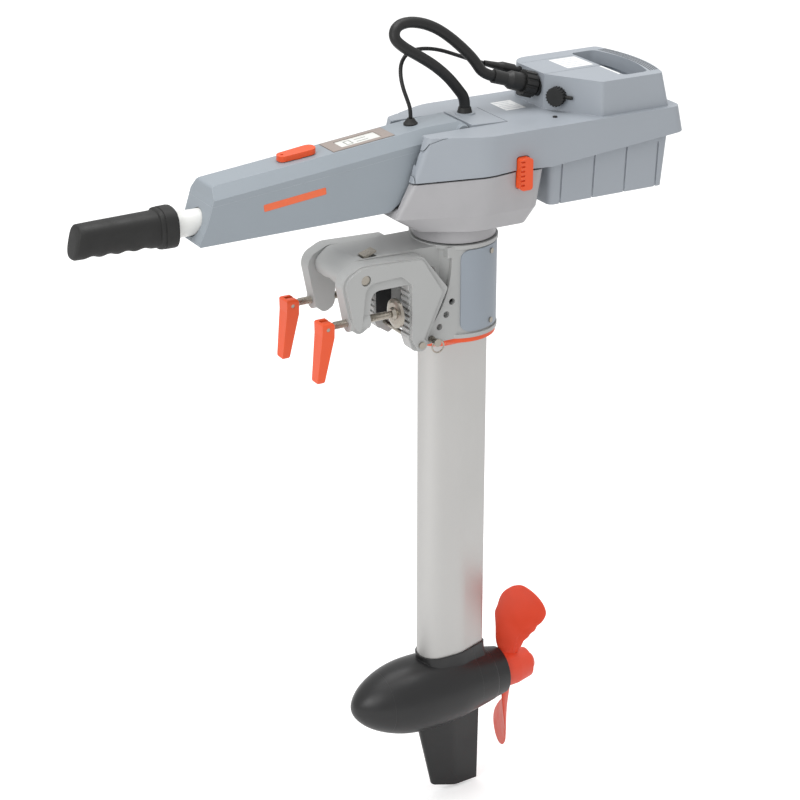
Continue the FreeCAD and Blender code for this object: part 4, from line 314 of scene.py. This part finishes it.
def new_piece(name: str, bm: bmesh.types.BMesh, finish: Finish, body: str, smooth_deg: float = 35.0,
              replaced: tuple[str, ...] = ()) -> bpy.types.Object:
    """Turns a finished bmesh into a piece that rides on a body.

    Args:
        name: The piece's name.
        bm: Its mesh, in the frame's own place. It is freed.
        finish: Its finish.
        body: The body that it moves with.
        smooth_deg: Faces that meet at less than this are shaded as one surface.
        replaced: Frame nodes that it stands for.

    Returns:
        The piece.
    """
    bmesh.ops.recalc_face_normals(bm, faces=bm.faces)
    for face in bm.faces:
        face.smooth = True
    for edge in bm.edges:
        edge.smooth = len(edge.link_faces) == 2 and edge.calc_face_angle(0.0) < math.radians(smooth_deg)
    mesh = bpy.data.meshes.new(name)
    bm.to_mesh(mesh)
    bm.free()
    mesh.materials.append(finish.material())
    piece = bpy.data.objects.new(name, mesh)
    bpy.context.scene.collection.objects.link(piece)
    if replaced:
        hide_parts(*replaced)
    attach(piece, body)
    log.info("%s: %d faces, rides on %s", name, len(mesh.polygons), body)
    return piece


def add_slab(bm: bmesh.types.BMesh, centre: Vector, along: Vector, across: Vector,
             size: tuple[float, float, float], round_mm: float = 0.0) -> None:
    """Adds a thin plate, such as a label or a printed stripe, with rounded corners.

    Args:
        bm: The mesh that it joins.
        centre: Middle of the plate.
        along: Direction of its length.
        across: Direction of its width.
        size: Length, width and thickness.
        round_mm: Radius of the four upright corners.
    """
    length, width, thick = size
    x_axis = along.normalized()
    z_axis = x_axis.cross(across).normalized()
    y_axis = z_axis.cross(x_axis)
    turn = Matrix((x_axis, y_axis, z_axis)).transposed().to_4x4()
    made = bmesh.ops.create_cube(bm, size=1.0, matrix=Matrix.Translation(centre) @ turn @ Matrix.Diagonal(
        (length, width, thick, 1.0)))
    if round_mm:
        cube_edges = {edge for vert in made["verts"] for edge in vert.link_edges}
        upright = [e for e in cube_edges if abs((e.verts[0].co - e.verts[1].co).normalized().dot(z_axis)) > 0.9]
        bmesh.ops.bevel(bm, geom=upright, offset=round_mm * MM, offset_type="OFFSET", segments=4, profile=0.5,
                        affect="EDGES", material=-1)


def add_ribbon(bm: bmesh.types.BMesh, line: list[Vector], up: Vector, width: float, thick: float) -> None:
    """Adds a thin closed strip along a line.

    Args:
        bm: The mesh that it joins.
        line: Points of its middle line.
        up: Normal of the surface that it lies on.
        width: Its width.
        thick: Its thickness.
    """
    rings = []
    for i, point in enumerate(line):
        ahead = (line[min(i + 1, len(line) - 1)] - line[max(i - 1, 0)]).normalized()
        across = ahead.cross(up).normalized() * (0.5 * width)
        lift = up * thick
        rings.append([bm.verts.new(c) for c in (point - across, point + across, point + across + lift,
                                                point - across + lift)])
    for before, after in zip(rings, rings[1:]):
        for k in range(4):
            bm.faces.new((before[k], before[(k + 1) % 4], after[(k + 1) % 4], after[k]))
    bm.faces.new(rings[0])
    bm.faces.new(rings[-1][::-1])


def millimetres(x: float, y: float, z: float) -> Vector:
    """Turns a place in millimetres into metres.

    Args:
        x: Its distance aft.
        y: Its distance to starboard.
        z: Its height.

    Returns:
        The same place in metres.
    """
    return Vector((x, y, z)) * MM


# ---------------------------------------------------------------- cables
@dataclass
class Leads:
    """The motor's power cable and the data cable, with their plugs."""

    power_diameter: float = 14.0 * MM
    power_length: float = 0.3294
    data_diameter: float = 5.0 * MM
    data_length: float = 0.225
    power_route: tuple = (
        (122.7, 17.0, 194.0), (122.7, 17.0, 205.0), (114.0, 17.0, 216.5), (98.0, 14.5, 235.0), (77.0, 12.5, 253.5),
        (54.0, 12.0, 269.0), (33.5, 14.0, 281.5), (20.5, 18.0, 294.0), (26.0, 24.0, 306.5), (45.0, 29.0, 310.0),
        (68.0, 31.0, 305.5), (88.5, 30.0, 296.5), (107.0, 27.0, 283.0), (124.5, 23.0, 266.5), (138.5, 20.3, 251.0),
        (148.966, 17.179, 233.312), (163.3, 15.7, 228.8))
    data_route: tuple = (
        (36.0, 3.0, 195.0), (36.0, 3.0, 206.0), (32.0, 4.5, 219.0), (28.5, 9.0, 233.0), (28.5, 15.5, 247.5),
        (33.0, 22.5, 260.0), (43.5, 28.5, 269.0), (59.0, 33.0, 272.5), (79.0, 37.5, 270.5), (101.5, 41.5, 264.5),
        (122.0, 46.0, 256.0), (139.5, 52.0, 248.5), (156.513, 56.263, 240.878), (173.6, 54.5, 235.5))

    def build(self) -> None:
        self.build_power_cable()
        self.build_data_cable()

    def route_curve(self, name: str, route: tuple, diameter: float) -> bpy.types.Object:
        """Makes a smooth round cable along a route.

        Args:
            name: Its name.
            route: Its points, in millimetres.
            diameter: Its diameter, or 0 for its bare line.

        Returns:
            The curve object, in the scene.
        """
        curve = bpy.data.curves.new(name, "CURVE")
        curve.dimensions = "3D"
        spline = curve.splines.new("NURBS")
        spline.points.add(len(route) - 1)
        for point, place in zip(spline.points, route):
            point.co = (*(c * MM for c in place), 1.0)
        spline.order_u = 3
        spline.use_endpoint_u = True
        spline.resolution_u = 10
        curve.bevel_depth = 0.5 * diameter
        curve.bevel_resolution = 6
        curve.use_fill_caps = True
        cable = bpy.data.objects.new(name, curve)
        bpy.context.scene.collection.objects.link(cable)
        return cable

    def build_power_cable(self) -> None:
        """Thick cable from the deck's gland over the tiller to the battery's power socket."""
        cable = self.route_curve("power_cable_sheath", self.power_route, self.power_diameter)
        cable.data.materials.append(CABLE_SHEATH.material())
        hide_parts("power_cable")
        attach(cable, "drive")

    def build_data_cable(self) -> None:
        """Thin cable from the tiller's grommet to the battery."""
        line = self.route_curve("data_cable_line", self.data_route, 0.0)
        line_mesh = bpy.data.meshes.new_from_object(line)
        source = self.route_curve("data_cable_source", self.data_route, self.data_diameter)
        bm = bmesh.new()
        tube = bpy.data.meshes.new_from_object(source)
        bm.from_mesh(tube)
        bmesh.ops.remove_doubles(bm, verts=bm.verts, dist=1e-6)
        bmesh.ops.recalc_face_normals(bm, faces=bm.faces)
        cable = bpy.data.objects.new("data_cable_sheath", bpy.data.meshes.new("data_cable_sheath"))
        for face in bm.faces:
            face.smooth = True
        bm.to_mesh(cable.data)
        bm.free()
        for leftover in (line, source):
            bpy.data.objects.remove(leftover)
        for leftover in (line_mesh, tube):
            bpy.data.meshes.remove(leftover)
        bpy.context.scene.collection.objects.link(cable)
        cable.data.materials.append(CABLE_SHEATH.material())
        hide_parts("data_cable")
        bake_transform(cable)

    def dress(self) -> None:
        """Finishes of the plugs and glands."""
        dress_nodes(PLUG_BLACK, "power_plug", "power_plug_ring", "data_plug")
        dress_nodes(GRIP_RUBBER, "power_gland", "data_gland")


# ---------------------------------------------------------------- clamp and swivel
@dataclass
class ClampBracket:
    """Two cast arms with their screws, pads and folding toggles."""

    sides: tuple[str, str] = ("left", "right")
    arm_inner: float = 36.2 * MM
    shade_sheet_thick: float = 1.0 * MM
    shade_sheet_middle: tuple[float, float] = (15.0 * MM, -41.0 * MM)
    shade_sheet_height: float = 72.0 * MM
    shade_sheet_width: float = 22.0 * MM
    shade_sheet_corner_mm: float = 3.0

    def build(self) -> None:
        """Adds a black sheet of painted shade on the inner side of each arm, where the jaw between the arms lies in
        shadow.
        """
        for side, sign in zip(self.sides, (1, -1)):
            bm = bmesh.new()
            x, z = self.shade_sheet_middle
            y = sign * (self.arm_inner - 0.5 * self.shade_sheet_thick)
            size = (self.shade_sheet_height, self.shade_sheet_width, self.shade_sheet_thick)
            add_slab(bm, Vector((x, y, z)), Vector((0, 0, 1)), Vector((1, 0, 0)), size, self.shade_sheet_corner_mm)
            # Painted shade: the sheet is black so that the jaw reads dark.
            new_piece(f"arm_jaw_shade_{side}", bm, GAP_SHADE_BLACK, "clamp")

    def dress(self) -> None:
        """Finishes of the castings and their hardware."""
        dress_nodes(STAINLESS, "tilt_pivot_bolt", "lower_tie_rod")
        for side in self.sides:
            dress_nodes(POWDER_COAT, f"clamp_arm_{side}")
            dress_nodes(STAINLESS, f"clamp_screw_{side}", f"pressure_pad_{side}")
            dress_nodes(ORANGE_NYLON, f"toggle_handle_{side}")


@dataclass
class SwivelHousing:
    """Cast yoke with its barrel, the rear cover, the tilt catch and the trim pin."""

    def build(self) -> None:
        """Nothing is added to the frame's own pieces."""

    def dress(self) -> None:
        """Finishes of the yoke and what is on it."""
        dress_nodes(POWDER_COAT, "swivel_yoke")
        # The rear cover's ABS is painted darker than the case's, for shade.
        dress_nodes(SHADED_COVER_ABS, "swivel_rear_cover")
        dress_nodes(STAINLESS, "cover_screws", "tilt_catch", "trim_pin", "trim_pin_ring")


@dataclass
class DriveLeg:
    """Shaft extrusion with its bushes, collar and the wires inside it."""

    def build(self) -> None:
        """Nothing is added to the frame's own pieces."""

    def dress(self) -> None:
        """Finishes of the leg."""
        dress_nodes(ANODISED, "shaft_tube")
        dress_nodes(ORANGE_NYLON, "lower_collar")
        dress_nodes(ACETAL_BLACK, "shaft_bushes")
        dress_nodes(CABLE_SHEATH, "shaft_harness")


# ---------------------------------------------------------------- head and battery
@dataclass
class HeadAndBattery:
    """Head tub, deck and the battery with its raised box and carrying handle."""

    label_thickness: float = 0.12 * MM
    box_top: float = 229.0
    case_top: float = 184.0
    shade_line_stations: tuple[float, ...] = (361.0, 364.4, 367.8, 371.0)
    handle_radius: float = 225.0
    shade_line_width: float = 1.3 * MM
    label_corner_mm: float = 1.2
    bar_width: float = 1.4 * MM
    bar_lengths: tuple[float, ...] = (0.78, 0.62, 0.7, 0.5, 0.74)

    def build(self) -> None:
        """Adds the labels, their blank text bars, a white strip of painted highlight and the dark lines of painted
        shade on the handle.
        """
        self.build_labels()
        self.build_handle_shade_lines()

    def build_labels(self) -> None:
        """White labels on the case and the box, with plain grey bars in place of their wording, and a white strip of
        painted highlight along the front lip of the box's opening.
        """
        film = bmesh.new()
        ink = bmesh.new()
        along = Vector((1, 0, 0))
        across = Vector((0, 1, 0))
        thick = self.label_thickness
        # The first two places are labels. The third is a thin white strip of painted highlight along the lit front
        # lip of the box's opening, so it gets no bars.
        label_and_highlight_places = ((193.0, 26.0, self.case_top, 30.0, 40.0), (286.0, 23.0, self.box_top, 40.0, 46.0),
                  (308.6, -33.0, self.box_top, 3.6, 44.0))
        for x, y, z, length, width in label_and_highlight_places:
            add_slab(film, millimetres(x, y, z) + Vector((0, 0, 0.5 * thick)), along, across,
                     (length * MM, width * MM, thick), self.label_corner_mm)
        for x, y, z, length, width in label_and_highlight_places[:2]:
            for i, share in enumerate(self.bar_lengths):
                bar_y = y - 0.34 * width + 0.17 * width * i
                bar = length * share
                add_slab(ink, millimetres(x - 0.08 * length, bar_y, z) + Vector((0, 0, 1.2 * thick)), along, across,
                         (bar * MM, self.bar_width, 0.4 * thick))
        new_piece("case_labels_and_lip_highlight", film, LABEL_AND_HIGHLIGHT_WHITE, "drive")
        new_piece("case_label_bars", ink, LABEL_INK, "drive")

    def build_handle_shade_lines(self) -> None:
        """Four dark lines of painted shade along the top of the bowed handle."""
        bm = bmesh.new()
        # Painted shade: thin dark strips laid on the handle's top.
        for middle_x in self.shade_line_stations:
            line = [millimetres(middle_x - y * y / (2 * self.handle_radius), y, self.box_top)
                    for y in range(-60, 61, 6)]
            add_ribbon(bm, line, Vector((0, 0, 1)), self.shade_line_width, self.label_thickness)
        new_piece("handle_painted_shade_lines", bm, GAP_SHADE_BLACK, "drive")

    def dress(self) -> None:
        """Finishes of the cases and what is inside them."""
        dress_nodes(HEAD_NYLON, "head_lower_shell")
        dress_nodes(CASE_ABS, "battery_top_case", "battery_bottom_case", "head_deck")
        dress_nodes(ORANGE_NYLON, "battery_locking_pin")
        dress_nodes(PLUG_BLACK, "battery_sockets", "power_button")
        dress_nodes(GRIP_RUBBER, "charge_cap")
        dress_nodes(CELL_WRAP, "battery_cells")


# ---------------------------------------------------------------- tiller
@dataclass
class Tiller:
    """Tiller shells with the display, the magnetic stop key, the white tube and the grip."""

    side_y: float = 33.0
    top_slope: float = 0.10748
    grip_axis_z: float = 110.0
    grip_tip_x: float = -425.0
    grip_rear_x: float = -292.0
    finger_pitch: float = 22.0
    finger_depth: float = 2.4
    ring_points: int = 48
    squareness: float = 0.72
    stripe_x: float = -144.5
    stripe_z: float = 128.0
    stripe_size: tuple[float, float, float] = (85.0 * MM, 9.0 * MM, 0.1 * MM)
    stripe_corner_mm: float = 1.5
    segments: tuple[tuple[float, float, float, float], ...] = (
        (-58.0, 0.0, 1.4, 14.0), (-50.0, 0.0, 1.4, 14.0), (-54.0, 6.4, 7.0, 1.2),
        (-54.0, -6.4, 7.0, 1.2), (-36.0, 4.0, 16.0, 1.4), (-36.0, -4.0, 16.0, 1.4))

    def build(self) -> None:
        """Adds the grip, the printed stripes and the display's segments."""
        self.build_grip()
        self.build_marks()
        self.build_segments()

    def grip_ring(self, x: float, half_width: float, half_height: float, lean: float) -> list[Vector]:
        """Lays out one squarish ring of the grip, hollowed underneath for the fingers.

        Args:
            x: Station along the tiller.
            half_width: Half of the ring's width.
            half_height: Half of its height.
            lean: How far its top stands behind its bottom.

        Returns:
            The ring's points.
        """
        points = []
        hollow = 0.0
        if self.grip_tip_x + 14.0 < x < self.grip_rear_x - 30.0:
            hollow = self.finger_depth * math.sin(math.pi * (x - self.grip_tip_x - 14.0) / self.finger_pitch) ** 2
        for k in range(self.ring_points):
            angle = math.tau * k / self.ring_points
            c, s = math.cos(angle), math.sin(angle)
            y = half_width * math.copysign(abs(c) ** self.squareness, c)
            z = half_height * math.copysign(abs(s) ** self.squareness, s)
            if s < 0:
                z += hollow * abs(s) ** 1.5
            points.append(millimetres(x + lean * (0.5 + 0.5 * z / half_height), y, self.grip_axis_z + z))
        return points

    def build_grip(self) -> None:
        """Rubber grip: squarish, a little thicker towards its collar, its end face cut on the slant."""
        stations = [(self.grip_tip_x + 1.0, 13.5, 17.5, 9.0), (self.grip_tip_x + 1.6, 15.5, 19.5, 9.0),
                    (self.grip_tip_x + 3.4, 16.6, 20.5, 8.6)]
        stations += [(self.grip_tip_x + 14.0 + 2.0 * i, 17.0 + 0.03 * i, 20.8 + 0.03 * i, max(0.0, 6.0 - 0.5 * i))
                     for i in range(45)]
        stations += [(-319.0, 18.6, 22.2, 0.0), (-316.0, 19.0, 22.6, 0.0), (-314.6, 22.4, 24.2, 0.0),
                     (-312.0, 23.0, 24.8, 0.0), (-310.6, 23.0, 24.8, 0.0), (-310.0, 22.2, 24.0, 0.0),
                     (-309.0, 22.2, 24.0, 0.0), (-308.4, 23.2, 25.0, 0.0), (-296.0, 23.6, 25.2, 0.0),
                     (-293.2, 23.0, 24.6, 0.0), (self.grip_rear_x, 21.5, 23.0, 0.0)]
        bm = bmesh.new()
        rings = [[bm.verts.new(p) for p in self.grip_ring(*station)] for station in stations]
        for before, after in zip(rings, rings[1:]):
            for k in range(self.ring_points):
                following = (k + 1) % self.ring_points
                bm.faces.new((before[k], before[following], after[following], after[k]))
        bm.faces.new(rings[0])
        bm.faces.new(rings[-1][::-1])
        new_piece("grip_rubber", bm, GRIP_RUBBER, "throttle", 40.0, ("throttle_grip",))

    def build_marks(self) -> None:
        """One plain orange stripe on each side of the tiller."""
        bm = bmesh.new()
        along = Vector((1, 0, self.top_slope))
        rise = Vector((-self.top_slope, 0, 1))
        for side in (-1, 1):
            place = millimetres(self.stripe_x, side * (self.side_y + 0.03), self.stripe_z)
            add_slab(bm, place, along, rise, self.stripe_size, self.stripe_corner_mm)
        new_piece("side_marks", bm, MARK_INK, "tiller")

    def build_segments(self) -> None:
        """Faint unlit segments behind the display's window."""
        bm = bmesh.new()
        along = Vector((1, 0, self.top_slope))
        across = Vector((0, 1, 0))
        for x, y, length, width in self.segments:
            z = 172.0 + self.top_slope * (x + 107.0) - 0.16
            add_slab(bm, millimetres(x, y, z), along, across, (length * MM, width * MM, 0.06 * MM))
        new_piece("display_segments", bm, SEGMENT_INK, "tiller")

    def dress(self) -> None:
        """Finishes of the tiller."""
        dress_nodes(TILLER_ABS, "tiller_lower_shell", "tiller_top_cover")
        dress_nodes(BEZEL_FILM, "display_bezel")
        dress_nodes(PANEL_GLASS, "display_glass")
        dress_nodes(ORANGE_NYLON, "stop_key")
        dress_nodes(STAINLESS, "tiller_hinge_pin")
        dress_nodes(BOARD_GREEN, "throttle_sensor")
        dress_nodes(WHITE_ACETAL, "throttle_tube")


# ---------------------------------------------------------------- motor pod
@dataclass
class MotorPod:
    """Torpedo housing, fin, gear train and propeller."""

    planets: int = 3

    def build(self) -> None:
        """Nothing is added to the frame's own pieces."""

    def dress(self) -> None:
        """Finishes of the pod, outside and inside."""
        dress_nodes(POD_BLACK, "pylon_housing", "pylon_nose", "pylon_tail_cover", "fin")
        dress_nodes(PROPELLER_NYLON, "propeller", "propeller_nut")
        dress_nodes(GEAR_STEEL, "ring_gear", "rotor", "planet_carrier", "output_bearing",
                    *(f"planet_gear_{i + 1}" for i in range(self.planets)))
        dress_nodes(WOUND_COPPER, "stator")
        dress_nodes(BOARD_GREEN, "motor_controller")


# ---------------------------------------------------------------- studio
@dataclass
class Studio:
    """Pale floor, soft lights and the camera."""

    camera_place: tuple[float, float, float] = (-1.3562, -2.4350, 1.0062)
    camera_azimuth_deg: float = -29.46
    camera_drop_deg: float = 23.0
    lens_mm: float = 105.075
    floor_gap: float = 4.0 * MM
    floor_size: float = 60.0
    floor_glow: float = 0.3

    def build(self) -> None:
        """Makes the floor, the lights and the camera."""
        self.build_floor()
        self.build_lights()
        self.build_camera()

    def build_floor(self) -> None:
        """Plain pale floor just under the fin."""
        bm = bmesh.new()
        bmesh.ops.create_grid(bm, x_segments=1, y_segments=1, size=0.5 * self.floor_size,
                              matrix=Matrix.Translation((0, 0, cad_bounds[0][2] - self.floor_gap)))
        mesh = bpy.data.meshes.new("studio_floor")
        bm.to_mesh(mesh)
        bm.free()
        material = bpy.data.materials.new("matt_studio_paper")
        material.use_nodes = True
        tree = material.node_tree
        shader = tree.nodes["Principled BSDF"]
        place = add_node(tree, "ShaderNodeTexCoord").outputs["Object"]
        drift = add_node(tree, "ShaderNodeTexNoise", {"Vector": place, "Scale": 0.7, "Detail": 2.0})
        shade = add_node(tree, "ShaderNodeMix", {0: drift.outputs["Fac"], 6: linear("#F4F4F4"), 7: linear("#F8F8F8")},
                         data_type="RGBA")
        tree.links.new(shade.outputs[2], shader.inputs["Base Color"])
        shader.inputs["Roughness"].default_value = 0.9
        shader.inputs["Emission Color"].default_value = (1.0, 1.0, 1.0, 1.0)
        seen = add_node(tree, "ShaderNodeLightPath").outputs["Is Camera Ray"]
        glow = add_node(tree, "ShaderNodeMath", {0: seen, 1: self.floor_glow}, operation="MULTIPLY")
        tree.links.new(glow.outputs["Value"], shader.inputs["Emission Strength"])
        mesh.materials.append(material)
        floor = bpy.data.objects.new("studio_floor", mesh)
        bpy.context.scene.collection.objects.link(floor)

    def add_softbox(self, name: str, place: tuple[float, float, float], target: tuple[float, float, float],
                    size: float, watts: float) -> None:
        """Adds one square soft light.

        Args:
            name: Its name.
            place: Where it stands.
            target: What it points at.
            size: Its side.
            watts: Its power.
        """
        lamp = bpy.data.lights.new(name, "AREA")
        lamp.shape = "SQUARE"
        lamp.size = size
        lamp.energy = watts
        light = bpy.data.objects.new(name, lamp)
        light.location = place
        light.rotation_euler = (Vector(target) - Vector(place)).to_track_quat("-Z", "Y").to_euler()
        bpy.context.scene.collection.objects.link(light)

    def build_lights(self) -> None:
        """Even white surroundings with soft boxes above and at the left."""
        world = bpy.data.worlds.new("studio_world")
        world.use_nodes = True
        background = world.node_tree.nodes["Background"]
        background.inputs["Color"].default_value = (1.0, 1.0, 1.0, 1.0)
        background.inputs["Strength"].default_value = 0.75
        bpy.context.scene.world = world
        self.add_softbox("overhead_softbox", (0.2, 0.3, 3.2), (0.0, 0.0, -0.2), 3.0, 75.0)
        self.add_softbox("left_softbox", (-3.0, -1.2, 1.6), (0.0, 0.0, -0.2), 2.0, 45.0)
        bpy.context.scene.view_settings.view_transform = "Standard"

    def build_camera(self) -> None:
        """Long lens a little above the motor, ahead of it on its port side."""
        lens = bpy.data.cameras.new("camera")
        lens.lens = self.lens_mm
        lens.sensor_width = 36.0
        lens.clip_end = 200.0
        camera = bpy.data.objects.new("camera", lens)
        camera.location = self.camera_place
        camera.rotation_euler = (math.radians(90.0 - self.camera_drop_deg), 0.0,
                                 math.radians(self.camera_azimuth_deg))
        bpy.context.scene.collection.objects.link(camera)
        bpy.context.scene.camera = camera


def main() -> None:
    """Builds and dresses every sub-assembly in order."""
    logging.basicConfig(level=logging.INFO, format="%(name)s: %(message)s")
    Studio().build()
    for assembly in (Leads(), ClampBracket(), SwivelHousing(), DriveLeg(), HeadAndBattery(), Tiller(), MotorPod()):
        assembly.build()
        assembly.dress()


if __name__ == "__main__":
    main()
